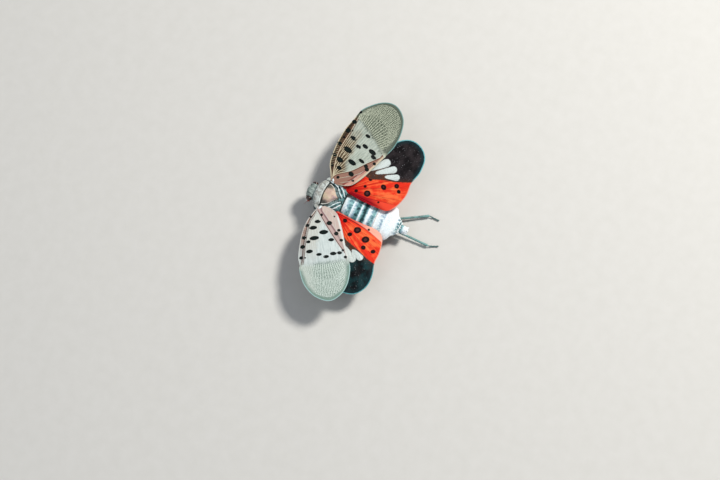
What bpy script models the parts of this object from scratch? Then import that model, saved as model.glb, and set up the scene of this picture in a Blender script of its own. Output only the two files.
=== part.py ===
"""A still, life-size spotted lanternfly with its wings half spread, as separate closed solids.

The head points along -Y, the tail along +Y and the back along +Z. The insect's left side is +X.
All sizes are in millimetres in the body frame, whose origin is on the floor under the mesonotum.
They become metres in the row frame when a mesh is made.
"""

import math

import bmesh
import bpy
from mathutils import Vector

MM = 0.001

# The body frame's origin in the row frame, which puts the row's origin under the middle of the box
BODY_SHIFT = Vector((0.75, -9.1, 0.0))
FLOOR = 0.0
SEAM = 0.14

LEFT = 1
RIGHT = -1
SIDE_NAMES = {LEFT: "left", RIGHT: "right"}

# Body
RING_POINTS = 20
HEAD_FRONT = -5.2
HEAD_BACK = -3.2
THORAX_FRONT = -3.06
THORAX_BACK = 2.9
THORAX_UNDER = 1.0
THORAX_TOP = 5.1
PLATE_BASE = THORAX_TOP + SEAM
PRONOTUM_BACK = -1.28
MESONOTUM_BACK = 1.5
ABDOMEN_FRONT = 3.05
ABDOMEN_WIDEST = 12.8
ABDOMEN_BACK = 15.2
TAIL_END = 16.85
SEGMENT_ENDS = (ABDOMEN_FRONT, 4.9, 6.7, 8.5, 10.4, 12.2, 14.0, ABDOMEN_BACK)

# Wings: the pose of each pair, in degrees, and the arch of the sheet
WING_THICKNESS = 0.5
FOREWING_ROOT = (3.3, -0.7, 5.55)
FOREWING_SWEEP = {LEFT: 30.0, RIGHT: 16.0}
FOREWING_RISE = {LEFT: 2.0, RIGHT: 6.0}
FOREWING_CAMBER = 0.45
HINDWING_ROOT = (2.5, 2.0, 4.72)
HINDWING_SWEEP = {LEFT: 33.0, RIGHT: 35.0}
HINDWING_RISE = {LEFT: -1.0, RIGHT: 6.0}
HINDWING_CAMBER = 0.2
SPAN_CELLS = 26
CHORD_CELLS = 9

# Each outline starts at the root, runs out along the front edge and comes back along the hind edge.
# A point is (distance out from the root, distance behind the root line). The wings of the two sides
# are not spread or stretched alike, so each has its own outline.
FOREWING_OUTLINE = {
    LEFT: ((-0.35, -0.4), (0.9, -1.5), (2.4, -2.8), (5.0, -4.15), (8.2, -5.05), (10.4, -5.45), (11.8, -5.35),
           (13.0, -5.55), (15.9, -5.05), (18.3, -3.7), (19.6, -2.0), (20.1, -0.4), (19.7, 1.0), (18.5, 2.5),
           (16.7, 3.6), (14.5, 4.25), (12.8, 4.4), (9.0, 4.0), (5.0, 3.7), (2.0, 3.2), (0.5, 2.2),
           (-0.35, 0.9)),
    RIGHT: ((-0.35, -0.4), (0.9, -1.5), (2.4, -2.9), (4.9, -3.95), (7.6, -4.7), (10.4, -5.1), (12.5, -5.05),
            (15.0, -5.1), (17.2, -4.1), (18.9, -2.8), (19.9, -1.3), (20.1, 0.3), (19.3, 2.1), (17.9, 3.5),
            (15.5, 4.6), (12.9, 5.1), (10.2, 4.95), (6.8, 4.6), (4.2, 4.3), (1.7, 3.6), (0.5, 2.5),
            (-0.35, 0.9)),
}
HINDWING_OUTLINE = {
    LEFT: ((-0.05, -0.9), (4.0, -1.8), (9.0, -2.5), (13.2, -2.9), (15.2, -2.6), (16.9, -1.6), (17.7, -0.3),
           (17.95, 1.1), (17.6, 2.5), (16.7, 3.8), (15.4, 4.8), (14.0, 5.45), (12.35, 5.95), (10.4, 7.25),
           (8.4, 8.15), (7.1, 8.4), (6.0, 8.05), (4.9, 7.0), (3.8, 5.25), (2.1, 2.9), (0.1, 0.6)),
    RIGHT: ((-0.05, -0.9), (4.0, -1.8), (9.0, -2.5), (13.2, -2.9), (15.0, -2.75), (16.4, -2.1), (17.3, -1.0),
            (17.75, 0.5), (17.6, 2.1), (16.9, 3.5), (15.8, 4.5), (14.3, 5.45), (12.1, 6.15), (10.1, 7.6),
            (8.6, 8.3), (6.6, 8.7), (4.9, 8.5), (3.75, 7.2), (2.2, 4.8), (1.2, 2.9), (0.1, 0.6)),
}

# Legs: the joints from hip to claw, given for the left side, and how thick each part is
LEG_JOINTS = {
    "front": ((0.75, -2.2, 0.62), (2.0, -2.0, 0.66), (5.3, -1.2, 2.5), (8.1, 0.5, 0.5), (10.2, 1.9, 0.2)),
    "middle": ((0.75, 0.2, 0.62), (2.0, 0.5, 0.66), (5.9, 1.7, 2.5), (9.1, 5.2, 0.5), (10.3, 7.5, 0.2)),
    "hind": ((0.75, 2.5, 0.62), (1.5, 3.9, 0.75), (-0.1, 11.6, 1.0), (0.3, 21.5, 0.5), (-0.6, 23.5, 0.2)),
}
RIGHT_HIND_JOINTS = ((-0.75, 2.5, 0.62), (-1.5, 3.9, 0.75), (-1.05, 11.2, 0.95), (-5.85, 19.3, 0.5),
                     (-5.75, 21.5, 0.2))
LEG_PARTS = ("coxa", "femur", "tibia", "tarsus")
LEG_PART_PROFILES = {
    "coxa": ((0.0, 0.3), (0.4, 0.34), (1.0, 0.27)),
    "femur": ((0.0, 0.26), (0.3, 0.34), (0.75, 0.32), (1.0, 0.26)),
    "tibia": ((0.0, 0.25), (0.12, 0.28), (0.8, 0.25), (1.0, 0.29)),
    "tarsus": ((0.0, 0.25), (0.3, 0.26), (0.65, 0.25), (1.0, 0.26)),
}
TOE_HEIGHT = 0.2
LEG_POINTS = 8
JOINT_GAP = 0.13

COLOURS = {
    "cuticle": (0.36, 0.37, 0.33),
    "eye": (0.035, 0.02, 0.018),
    "antenna": (0.75, 0.12, 0.03),
    "pronotum": (0.52, 0.55, 0.5),
    "mesonotum": (0.38, 0.28, 0.23),
    "wax": (0.86, 0.9, 0.88),
    "forewing": (0.72, 0.7, 0.63),
    "hindwing": (0.8, 0.07, 0.03),
    "leg": (0.07, 0.1, 0.1),
}
ROUGHNESS = {"eye": 0.2, "antenna": 0.4, "leg": 0.45}
DULL = 0.7


def clear_scene():
    """Remove what a new file holds, so the script gives the same model wherever it runs."""
    for item in list(bpy.data.objects):
        bpy.data.objects.remove(item, do_unlink=True)


def make_material(name, finish):
    """A plain material in one of the insect's colours."""
    material = bpy.data.materials.new(name)
    material.use_nodes = True
    shader = material.node_tree.nodes["Principled BSDF"]
    shader.inputs["Base Color"].default_value = (*COLOURS[finish], 1.0)
    shader.inputs["Roughness"].default_value = ROUGHNESS.get(finish, DULL)
    shader.inputs["Metallic"].default_value = 0.0
    return material


def to_row(point):
    """Turn a point of the body frame, in millimetres, into metres in the row frame."""
    return (Vector(point) + BODY_SHIFT) * MM


def add_object(name, mesh_data, finish, collection):
    """Give a mesh its name, its finish and its collection."""
    mesh = bpy.data.meshes.new(name)
    mesh_data.to_mesh(mesh)
    mesh_data.free()
    mesh.shade_smooth()
    mesh.set_sharp_from_angle(angle=math.radians(40))
    mesh.materials.append(make_material(name, finish))
    item = bpy.data.objects.new(name, mesh)
    collection.objects.link(item)
    return item


def loft(name, rings, finish, collection):
    """One closed solid through rings of equal length, with a flat cap at each end."""
    solid = bmesh.new()
    loops = [[solid.verts.new(to_row(point)) for point in ring] for ring in rings]
    count = len(rings[0])
    for first, second in zip(loops, loops[1:]):
        for i in range(count):
            j = (i + 1) % count
            solid.faces.new((first[i], first[j], second[j], second[i]))
    solid.faces.new(tuple(reversed(loops[0])))
    solid.faces.new(tuple(loops[-1]))
    bmesh.ops.recalc_face_normals(solid, faces=solid.faces)
    return add_object(name, solid, finish, collection)


def rounded(angle, exponent):
    """A point of the unit superellipse: exponent 2 is a circle and a larger one is squarer."""
    power = 2.0 / exponent
    x = math.copysign(abs(math.cos(angle)) ** power, math.cos(angle))
    z = math.copysign(abs(math.sin(angle)) ** power, math.sin(angle))
    return x, z


def body_ring(y, half_width, under, top, upper=2.0, lower=2.0, count=RING_POINTS):
    """A cross-section of the body at y, squarer above or below as the exponents say."""
    middle = (under + top) / 2
    half_height = (top - under) / 2
    ring = []
    for i in range(count):
        angle = 2 * math.pi * (i + 0.5) / count
        x, z = rounded(angle, upper if math.sin(angle) > 0 else lower)
        ring.append((x * half_width, y, middle + z * half_height))
    return ring


def plate_ring(y, half_width, top):
    """A cross-section of a back plate: a low dome with a flat base on the thorax."""
    ring = [(half_width, y, PLATE_BASE)]
    steps = RING_POINTS // 2
    for i in range(1, steps):
        x, z = rounded(math.pi * i / steps, 2.3)
        ring.append((x * half_width, y, PLATE_BASE + 0.1 + z * (top - PLATE_BASE - 0.1)))
    ring.append((-half_width, y, PLATE_BASE))
    return ring


def blend_table(table, where):
    """Read a smooth curve through the rows of a table: each row is a place, then its values."""
    last = len(table) - 1
    i = 0
    while i < last - 1 and where > table[i + 1][0]:
        i += 1
    before, start, end, after = (table[max(0, min(last, k))] for k in (i - 1, i, i + 1, i + 2))
    span = end[0] - start[0]
    t = (where - start[0]) / span
    values = []
    for column in range(1, len(start)):
        rise_start = (end[column] - before[column]) / max(end[0] - before[0], span) * span
        rise_end = (after[column] - start[column]) / max(after[0] - start[0], span) * span
        values.append((2 * t ** 3 - 3 * t ** 2 + 1) * start[column] + (t ** 3 - 2 * t ** 2 + t) * rise_start
                      + (3 * t ** 2 - 2 * t ** 3) * end[column] + (t ** 3 - t ** 2) * rise_end)
    return values


def make_head(collection):
    """The head: short, with an upturned lip in front and a face that slopes under."""
    rings = [
        body_ring(HEAD_FRONT, 0.45, 3.5, 4.7),
        body_ring(HEAD_FRONT + 0.3, 0.8, 2.9, 5.0, upper=2.3),
        body_ring(HEAD_FRONT + 0.8, 1.05, 2.25, 5.15, upper=2.6),
        body_ring(HEAD_FRONT + 1.4, 1.2, 1.95, 5.2, upper=2.6),
        body_ring(HEAD_BACK, 1.35, 1.9, 5.2, upper=2.6),
    ]
    loft("head", rings, "cuticle", collection)


def make_ball(name, centre, radii, turn, finish, collection):
    """An egg-shaped piece, turned about the vertical."""
    ball = bmesh.new()
    bmesh.ops.create_uvsphere(ball, u_segments=12, v_segments=8, radius=1.0)
    cosine = math.cos(math.radians(turn))
    sine = math.sin(math.radians(turn))
    for vertex in ball.verts:
        x, y, z = (vertex.co[k] * radii[k] for k in range(3))
        turned = (centre[0] + x * cosine - y * sine, centre[1] + x * sine + y * cosine, centre[2] + z)
        vertex.co = to_row(turned)
    add_object(name, ball, finish, collection)


def tube_ring(centre, along, radius, count=LEG_POINTS):
    """A round section across a limb, cut off flat where it would sink into the floor."""
    side = along.cross(Vector((0.0, 0.0, 1.0))).normalized()
    up = side.cross(along).normalized()
    ring = []
    for i in range(count):
        angle = 2 * math.pi * (i + 0.5) / count
        point = centre + (side * math.cos(angle) + up * math.sin(angle)) * radius
        point.z = max(point.z, FLOOR)
        ring.append(point)
    return ring


def make_limb(name, path, radii, finish, collection, count=LEG_POINTS):
    """A tapering round limb along a path, with the given radius at each point of it."""
    points = [Vector(point) for point in path]
    rings = []
    for i, point in enumerate(points):
        along = (points[min(i + 1, len(points) - 1)] - points[max(i - 1, 0)]).normalized()
        rings.append(tube_ring(point, along, radii[i], count))
    loft(name, rings, finish, collection)


def make_face_parts(collection):
    """Eyes at the sides of the head, a feeler under each eye, and the beak under the breast."""
    for side, side_name in SIDE_NAMES.items():
        make_ball(f"eye_{side_name}", (side * 1.66, -4.05, 4.1), (0.46, 0.62, 0.58), -side * 14,
                  "eye", collection)
        feeler = ((1.2, -3.95, 2.92), (1.34, -4.0, 2.89), (1.62, -4.13, 2.81), (1.86, -4.25, 2.73),
                  (1.98, -4.31, 2.69), (2.95, -4.8, 2.55))
        make_limb(f"antenna_{side_name}", [(side * x, y, z) for x, y, z in feeler],
                  (0.25, 0.36, 0.42, 0.36, 0.25, 0.22), "antenna", collection)
    beak = ((0.0, -4.35, 1.72), (0.0, -3.7, 1.2), (0.0, -2.9, 0.75), (0.0, -1.6, 0.58), (0.0, 3.6, 0.58))
    make_limb("rostrum", beak, (0.38, 0.32, 0.28, 0.26, 0.25), "cuticle", collection)


def make_thorax(collection):
    """The thorax: one block below, and the three back plates and two wing scales over it."""
    block = [
        body_ring(THORAX_FRONT, 2.2, 1.5, THORAX_TOP - 0.1, upper=4.0, lower=2.4),
        body_ring(THORAX_FRONT + 0.6, 2.8, 1.15, THORAX_TOP, upper=5.0, lower=2.4),
        body_ring(-1.2, 3.2, THORAX_UNDER, THORAX_TOP, upper=6.0, lower=2.4),
        body_ring(0.4, 3.2, THORAX_UNDER, THORAX_TOP, upper=6.0, lower=2.4),
        body_ring(1.3, 2.65, THORAX_UNDER + 0.1, THORAX_TOP, upper=5.0, lower=2.4),
        body_ring(THORAX_BACK, 2.15, 1.5, THORAX_TOP - 0.15, upper=3.0, lower=2.4),
    ]
    loft("thorax", block, "cuticle", collection)
    pronotum = [
        plate_ring(-3.2, 1.2, 5.5),
        plate_ring(-2.8, 2.0, 5.8),
        plate_ring(-2.35, 2.7, 5.95),
        plate_ring(-1.95, 2.95, 5.95),
        plate_ring(-1.6, 2.7, 5.9),
        plate_ring(PRONOTUM_BACK, 2.3, 5.75),
    ]
    loft("pronotum", pronotum, "pronotum", collection)
    mesonotum = [
        plate_ring(PRONOTUM_BACK + SEAM, 2.28, 5.95),
        plate_ring(-0.5, 2.15, 6.3),
        plate_ring(0.25, 1.65, 6.3),
        plate_ring(0.75, 0.9, 6.1),
        plate_ring(MESONOTUM_BACK, 0.3, 5.75),
    ]
    loft("mesonotum", mesonotum, "mesonotum", collection)
    metanotum = [
        plate_ring(MESONOTUM_BACK + SEAM, 2.25, 5.75),
        plate_ring(2.2, 2.3, 5.8),
        plate_ring(2.85, 1.9, 5.6),
    ]
    loft("metanotum", metanotum, "wax", collection)
    for side, side_name in SIDE_NAMES.items():
        make_ball(f"tegula_{side_name}", (side * 3.2, -1.75, 5.45), (0.36, 0.27, 0.3), side * 20,
                  "cuticle", collection)


def abdomen_size(y):
    """Half width, underside and top of the abdomen at y."""
    table = (
        (ABDOMEN_FRONT, 2.15, 1.75, 4.55),
        (5.5, 2.85, 1.62, 4.6),
        (9.0, 3.4, 1.6, 4.6),
        (ABDOMEN_WIDEST, 3.85, 1.7, 4.4),
        (14.0, 2.75, 1.85, 4.15),
        (ABDOMEN_BACK, 1.15, 2.1, 3.7),
    )
    return blend_table(table, y)


def make_abdomen(collection):
    """The abdomen's segments, each a short band that swells a little, and the tube at its end."""
    for number, (front, back) in enumerate(zip(SEGMENT_ENDS, SEGMENT_ENDS[1:]), start=1):
        ends = (front, (front + back - SEAM) / 2, back - SEAM)
        rings = []
        for y in ends:
            half_width, under, top = abdomen_size(y)
            rings.append(body_ring(y, half_width, under, top, upper=2.1))
        loft(f"abdomen_segment_{number}", rings, "wax", collection)
    tube = [
        body_ring(ABDOMEN_BACK, 0.95, 2.15, 3.5),
        body_ring(16.0, 0.85, 2.2, 3.45),
        body_ring(16.6, 0.75, 2.3, 3.4),
        body_ring(TAIL_END, 0.4, 2.5, 3.2),
    ]
    loft("anal_tube", tube, "wax", collection)


def wing_point(root, sweep, rise, side, out, behind, lift):
    """A point of a wing from its distance out from the root, behind the root line and above it."""
    sweep = math.radians(sweep)
    rise = math.radians(rise)
    span = Vector((math.cos(sweep) * math.cos(rise), math.sin(sweep) * math.cos(rise), math.sin(rise)))
    chord = Vector((-math.sin(sweep), math.cos(sweep), 0.0))
    point = Vector(root) + span * out + chord * behind + span.cross(chord) * lift
    return Vector((side * point.x, point.y, point.z))


def outline_point(outline, place):
    """A point of the smooth curve through an outline, with place counted in points from its start."""
    last = len(outline) - 1
    i = min(int(place), last - 1)
    t = place - i
    before, start, end, after = (Vector(outline[max(0, min(last, k))]) for k in (i - 1, i, i + 1, i + 2))
    return (start * 2 + (end - before) * t + (before * 2 - start * 5 + end * 4 - after) * t ** 2
            + (start * 3 - before - end * 3 + after) * t ** 3) / 2


def make_wing(name, outline, root, sweep, rise, side, camber, finish, collection):
    """A wing: a sheet with ribs from its front edge to its hind edge, a little arched, made solid."""
    tip = max(range(len(outline)), key=lambda i: outline[i][0])
    last = len(outline) - 1
    sheet = bmesh.new()
    bmesh.ops.create_grid(sheet, x_segments=SPAN_CELLS, y_segments=CHORD_CELLS, size=1.0)
    for vertex in sheet.verts:
        along = (vertex.co.x + 1) / 2
        across = (vertex.co.y + 1) / 2
        front = outline_point(outline, along * tip)
        hind = outline_point(outline, last - along * (last - tip))
        out, behind = front.lerp(hind, across)
        lift = camber * math.sin(math.pi * across) * math.sin(math.pi * along)
        vertex.co = to_row(wing_point(root, sweep, rise, side, out, behind, lift))
    bmesh.ops.remove_doubles(sheet, verts=sheet.verts, dist=0.02 * MM)
    bmesh.ops.recalc_face_normals(sheet, faces=sheet.faces)
    wing = add_object(name, sheet, finish, collection)
    shell = wing.modifiers.new("thickness", "SOLIDIFY")
    shell.thickness = WING_THICKNESS * MM
    shell.offset = 0.0
    shell.use_even_offset = False


def make_wings(collection):
    """Both pairs of wings: the fore pair lies over the front edges of the hind pair."""
    for side, side_name in SIDE_NAMES.items():
        make_wing(f"forewing_{side_name}", FOREWING_OUTLINE[side], FOREWING_ROOT, FOREWING_SWEEP[side],
                  FOREWING_RISE[side], side, FOREWING_CAMBER, "forewing", collection)
        make_wing(f"hindwing_{side_name}", HINDWING_OUTLINE[side], HINDWING_ROOT, HINDWING_SWEEP[side],
                  HINDWING_RISE[side], side, HINDWING_CAMBER, "hindwing", collection)


def make_leg(name, joints, collection):
    """One leg from hip to claw, parted at its joints by thin gaps, with the foot flat on the floor."""
    for part, start, end in zip(LEG_PARTS, joints, joints[1:]):
        start = Vector(start)
        end = Vector(end)
        along = (end - start).normalized()
        start = start + along * JOINT_GAP
        end = end - along * JOINT_GAP
        profile = LEG_PART_PROFILES[part]
        path = [start.lerp(end, place) for place, _ in profile]
        if part == "tarsus":
            for point in path[1:]:
                point.z = TOE_HEIGHT
        make_limb(f"{name}_{part}", path, [radius for _, radius in profile], "leg", collection)


def make_legs(collection):
    """Six legs: the front and middle pairs under the wings, the hind pair trailing past the tail."""
    for pair, joints in LEG_JOINTS.items():
        make_leg(f"{pair}_leg_left", joints, collection)
        mirrored = [(-x, y, z) for x, y, z in joints]
        make_leg(f"{pair}_leg_right", RIGHT_HIND_JOINTS if pair == "hind" else mirrored, collection)


def build():
    clear_scene()
    collection = bpy.data.collections.new("spotted_lanternfly")
    bpy.context.scene.collection.children.link(collection)
    make_head(collection)
    make_face_parts(collection)
    make_thorax(collection)
    make_abdomen(collection)
    make_wings(collection)
    make_legs(collection)


build()
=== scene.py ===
"""The looks of a still, life-size spotted lanternfly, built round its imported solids.

The head points along -Y, the tail along +Y and the back along +Z. The insect's left side is +X.
Sizes are in millimetres in the body frame, whose origin is on the floor under the mesonotum, and
become metres in the row frame when a mesh is made.
"""

import math
import random

import bpy
import numpy as np
from mathutils import Matrix, Vector, noise


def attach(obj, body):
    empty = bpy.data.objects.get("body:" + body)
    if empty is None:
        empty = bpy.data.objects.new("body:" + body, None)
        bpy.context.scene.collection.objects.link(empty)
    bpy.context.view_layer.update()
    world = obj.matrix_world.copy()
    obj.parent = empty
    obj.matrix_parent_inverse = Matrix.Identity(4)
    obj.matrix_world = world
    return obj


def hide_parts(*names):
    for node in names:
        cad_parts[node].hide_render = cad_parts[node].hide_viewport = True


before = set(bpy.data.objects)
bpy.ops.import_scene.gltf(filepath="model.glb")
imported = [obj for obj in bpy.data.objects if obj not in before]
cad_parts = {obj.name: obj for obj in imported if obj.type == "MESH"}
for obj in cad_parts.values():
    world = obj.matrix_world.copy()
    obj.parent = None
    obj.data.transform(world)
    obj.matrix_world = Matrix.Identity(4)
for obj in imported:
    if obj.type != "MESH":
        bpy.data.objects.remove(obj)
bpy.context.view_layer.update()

MM = 0.001
BODY_SHIFT = np.array((0.75, -9.1, 0.0))
LEFT = 1
RIGHT = -1
SIDE_NAMES = {LEFT: "left", RIGHT: "right"}

# Camera: the photo's frame, the place of the mesonotum in it and how far a pixel reaches there
FRAME_WIDTH = 720
FRAME_HEIGHT = 480
LENS = 100.0
SENSOR = 36.0
CAMERA_AZIMUTH = 113.5
CAMERA_ELEVATION = 68.0
CAMERA_DISTANCE = 400.0
CLIP_START = 0.01
ANCHOR_PIXEL = (329.5, 196.5)
ANCHOR_PLACE = np.array((0.45, 0.0, 6.0))

# Stage, in metres, with each light as its name, place, size, power and colour
FLOOR_SIZE = 2.0
FLOOR_GAP = 0.00002
SKY_COLOUR = (0.82, 0.88, 1.0, 1.0)
SKY_STRENGTH = 0.3
LIGHTS = (("key", (-0.26, 0.18, 0.38), 0.1, 2.6, (1.0, 0.98, 0.94)),
          ("fill", (0.3, -0.2, 0.35), 0.4, 0.5, (0.92, 0.96, 1.0)))

# Meshes: points to a stretch of curve, what counts as steep, the gap at a ball's poles and its unevenness
CURVE_STEPS = 24
UPRIGHT = (0.0, 0.0, 1.0)
LEVEL = (0.0, 1.0, 0.0)
STEEP = 0.95
POLE = 0.03
BALL_LUMPS = 1.3
TINY = 1e-12
SHARP_ANGLE = 55

# The colour sockets of a mix node, by their number
MIX_UNDER = 6
MIX_OVER = 7
MIX_RESULT = 2

# Head: each lump has its centre, radii, how square it is and how softly it joins the lumps before it
HEAD_CENTRE = np.array((0.0, -3.85, 3.75))
HEAD_LUMPS = (
    ((0.0, -3.72, 3.6), (1.24, 1.3, 1.42), 2.7, 0.0), ((0.0, -4.42, 3.75), (0.86, 0.6, 1.22), 2.5, 0.2),
    ((0.0, -4.05, 2.45), (0.62, 0.62, 0.95), 2.2, 0.3), ((1.12, -4.02, 4.1), (0.43, 0.76, 0.73), 2.2, 0.12),
    ((0.82, -3.95, 3.0), (0.52, 0.66, 0.75), 2.0, 0.2), ((1.02, -3.15, 3.9), (0.62, 0.5, 1.1), 2.3, 0.2))
# How often the search for the head's surface halves its step
HALVINGS = 22
# The head's keels, given on one side: points near it, half width and height
HEAD_KEELS = (
    (((0.0, -2.9, 5.3), (0.0, -4.2, 5.3), (0.0, -5.2, 5.2), (0.0, -5.4, 4.2), (0.0, -5.1, 3.0),
      (0.0, -4.3, 1.6)), 0.045, 0.06),
    (((1.35, -2.9, 5.2), (1.2, -3.6, 5.3), (1.04, -4.3, 5.3), (0.86, -4.85, 5.15), (0.8, -5.1, 4.6),
      (0.92, -5.0, 3.8), (0.96, -4.85, 3.1), (0.62, -4.6, 2.4), (0.2, -4.3, 1.7)), 0.075, 0.12),
    (((0.86, -4.85, 5.15), (0.5, -5.2, 5.15), (0.0, -5.3, 5.1)), 0.07, 0.1),
    (((0.3, -5.3, 4.9), (0.44, -5.3, 4.3), (0.4, -5.2, 3.5)), 0.045, 0.05),
    (((1.3, -3.1, 5.2), (0.7, -3.25, 5.3), (0.0, -3.3, 5.3)), 0.06, 0.05),
)
HEAD_SEAM = ((0.98, -4.8, 2.95), (0.5, -4.95, 2.72), (0.0, -5.0, 2.66))
EYE_CENTRE = (1.66, -4.05, 4.1)
EYE_RADII = (0.46, 0.62, 0.58)
OCELLUS_CENTRE = (1.27, -4.5, 3.42)
# A feeler's stalk, bead and bristle: points, the radius at each of them and how many sides
FEELER_PARTS = (
    (((1.05, -3.93, 2.93), (1.2, -3.98, 2.9), (1.32, -4.03, 2.87)), (0.17, 0.19, 0.15), 14),
    (((1.28, -4.02, 2.88), (1.35, -4.05, 2.86), (1.46, -4.1, 2.83), (1.6, -4.17, 2.79), (1.72, -4.23, 2.75),
      (1.8, -4.27, 2.72), (1.84, -4.29, 2.71)), (0.1, 0.2, 0.29, 0.33, 0.29, 0.18, 0.06), 22),
    (((1.82, -4.28, 2.71), (1.95, -4.35, 2.69), (2.2, -4.47, 2.65), (2.5, -4.63, 2.6), (2.8, -4.8, 2.55)),
     (0.05, 0.04, 0.022, 0.014, 0.008), 6),
)
ROSTRUM_PATH = ((0.0, -4.1, 1.95), (0.0, -3.75, 1.3), (0.0, -2.9, 0.78), (0.0, -1.6, 0.58), (0.0, 1.0, 0.56),
                (0.0, 3.55, 0.58))

# Body: each row of a size table is the place along Y, the half width, the underside and the top
THORAX_SIZE = ((-3.05, 2.2, 1.5, 5.0), (-2.45, 2.8, 1.15, 5.1), (-1.2, 3.15, 1.0, 5.15),
               (0.4, 3.15, 1.0, 5.15), (1.4, 2.65, 1.1, 5.1), (2.9, 2.15, 1.5, 4.95))
ABDOMEN_SIZE = ((3.0, 2.15, 1.75, 4.55), (5.5, 2.85, 1.62, 4.6), (9.0, 3.4, 1.6, 4.6), (12.8, 3.85, 1.7, 4.4),
                (14.0, 2.35, 1.85, 4.15), (15.2, 1.15, 2.1, 3.7))
TAIL_SIZE = ((15.1, 0.95, 2.15, 3.55), (16.0, 0.85, 2.2, 3.45), (16.6, 0.75, 2.3, 3.4),
             (16.85, 0.4, 2.5, 3.2))
SEGMENT_ENDS = (3.0, 4.9, 6.7, 8.5, 10.4, 12.2, 14.0, 15.2)
# Where the rings of a segment lie along it: closer together at its ends
RING_SHARES = (0.0, 0.03, 0.08, 0.16, 0.26, 0.38, 0.5, 0.62, 0.74, 0.84, 0.92, 0.965, 0.985)
# For each segment, how bare of wax its dark band is, and where along it the band is darkest and ends. The
# last segment's band is partly painted shade in the gap before the tail.
SEGMENT_BANDS = ((0.74, 0.8, 1.16), (1.0, 0.74, 1.1), (1.28, 0.5, 0.94), (0.74, 0.5, 0.94),
                 (0.36, 0.66, 0.96), (0.02, 0.5, 0.9), (0.95, 0.8, 1.2))
# Where along Y one ring's hind edge shows brown through the wax
BROWN_SEAM = 10.05
# Loose clots of wax: how many, the place along Y where they lie thickest and how far they spread from it
BODY_CLOTS = (360, 15.3, 2.2)
TAIL_CLOTS = (90, 16.75, 0.5)
FIRST_CLOT = 4.0
CLOT_SEED = 5

# The collar, and the lumps of a wing's scale: centre, radii, turn, rows, columns, seed and wax
COLLAR_TOP = 5.26
COLLAR_FLOOR = 4.98
COLLAR_HALF_WIDTH = 3.0
TEGULA_LUMPS = (((3.2, -1.72, 5.42), (0.34, 0.5, 0.2), -28, 18, 26, 3.0, 0.3),
                ((3.42, -1.45, 5.36), (0.2, 0.36, 0.16), -40, 14, 20, 8.0, 0.6))
COLLAR_LOBE = ((1.5, -3.02), (2.3, -2.72), (2.85, -2.2), (3.02, -1.6), (3.0, -1.2))
# The shield between the wings, as (place along Y, half width)
SHIELD_FLOOR = 5.2
SHIELD_WIDTHS = ((-1.5, 2.3), (-1.0, 2.42), (-0.5, 2.24), (0.15, 1.8), (0.65, 1.08), (1.1, 0.52),
                 (1.52, 0.14))

# The shield's flanks: their widths, white ridges, lobes (height, x, y, half sizes) and clots of wax
FLANK_FLOOR = 4.75
FLANK_WIDTHS = ((-1.1, 3.0), (0.6, 3.05), (2.0, 2.65), (2.95, 2.05))
FLANK_RIDGES = (((2.75, -0.15), (2.35, 0.62), (1.6, 1.2), (1.0, 1.72), (0.5, 2.3)),
                ((2.85, 0.6), (2.6, 1.1), (2.15, 1.75), (1.6, 2.25), (1.0, 2.62)))
FLANK_LOBES = ((1.0, 1.75, 2.3, 0.75, 0.42), (1.0, 0.0, 2.25, 0.5, 0.5), (0.8, 2.65, -0.35, 0.3, 0.5))
FLANK_CLOTS = (((2.92, -0.75, 5.36), (0.24, 0.4, 0.17), 8), ((3.02, 0.12, 5.26), (0.17, 0.38, 0.15), 4),
               ((2.72, 1.25, 5.05), (0.2, 0.45, 0.15), 22), ((3.3, -0.86, 5.55), (0.42, 0.22, 0.16), -24))

# Wings: outlines as (distance out from the root, distance behind the root line)
FOREWING_OUTLINE = {
    LEFT: ((-0.35, -0.4), (0.9, -1.5), (2.4, -2.8), (5.0, -4.15), (8.2, -5.05), (10.4, -5.45),
           (11.8, -5.35), (13.0, -5.55), (15.9, -5.05), (18.3, -3.7), (19.6, -2.0), (20.1, -0.4),
           (19.7, 1.0), (18.5, 2.5), (16.7, 3.6), (14.5, 4.25), (12.8, 4.4), (9.0, 4.0), (5.0, 3.7),
           (2.0, 3.2), (0.5, 2.2), (-0.35, 0.9)),
    RIGHT: ((-0.35, -0.4), (0.9, -1.5), (2.4, -2.9), (4.9, -3.95), (7.6, -4.7), (10.4, -5.1), (12.5, -5.05),
            (15.0, -5.1), (17.2, -4.1), (18.9, -2.8), (19.9, -1.3), (20.06, 0.3), (19.3, 2.1), (17.9, 3.5),
            (15.5, 4.6), (12.9, 5.1), (10.2, 4.95), (6.8, 4.6), (4.2, 4.3), (1.7, 3.6), (0.5, 2.5),
            (-0.35, 0.9)),
}
HINDWING_OUTLINE = {
    LEFT: ((-0.05, -0.9), (4.0, -1.8), (9.0, -2.5), (13.2, -2.9), (15.2, -2.6), (16.9, -1.6), (17.7, -0.3),
           (17.95, 1.1), (17.6, 2.5), (16.7, 3.8), (15.4, 4.8), (14.0, 5.45), (12.35, 5.95), (10.4, 7.25),
           (8.4, 8.15), (7.1, 8.4), (6.0, 8.05), (4.9, 7.0), (3.8, 5.25), (2.1, 2.9), (0.1, 0.6)),
    RIGHT: ((-0.05, -0.9), (4.0, -1.8), (9.0, -2.5), (13.2, -2.9), (15.0, -2.75), (16.4, -2.1),
            (17.3, -1.0), (17.75, 0.5), (17.6, 2.1), (16.9, 3.5), (15.8, 4.5), (14.3, 5.45), (12.1, 6.15),
            (10.1, 7.6), (8.6, 8.3), (6.6, 8.7), (4.9, 8.5), (3.75, 7.2), (2.2, 4.8), (1.2, 2.9),
            (0.1, 0.6)),
}
FOREWING_ROOT = (3.3, -0.7, 5.55)
FOREWING_SWEEP = {LEFT: 30.0, RIGHT: 16.0}
FOREWING_RISE = {LEFT: 2.0, RIGHT: 6.0}
HINDWING_ROOT = (2.5, 2.0, 4.72)
HINDWING_SWEEP = {LEFT: 33.0, RIGHT: 35.0}
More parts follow.
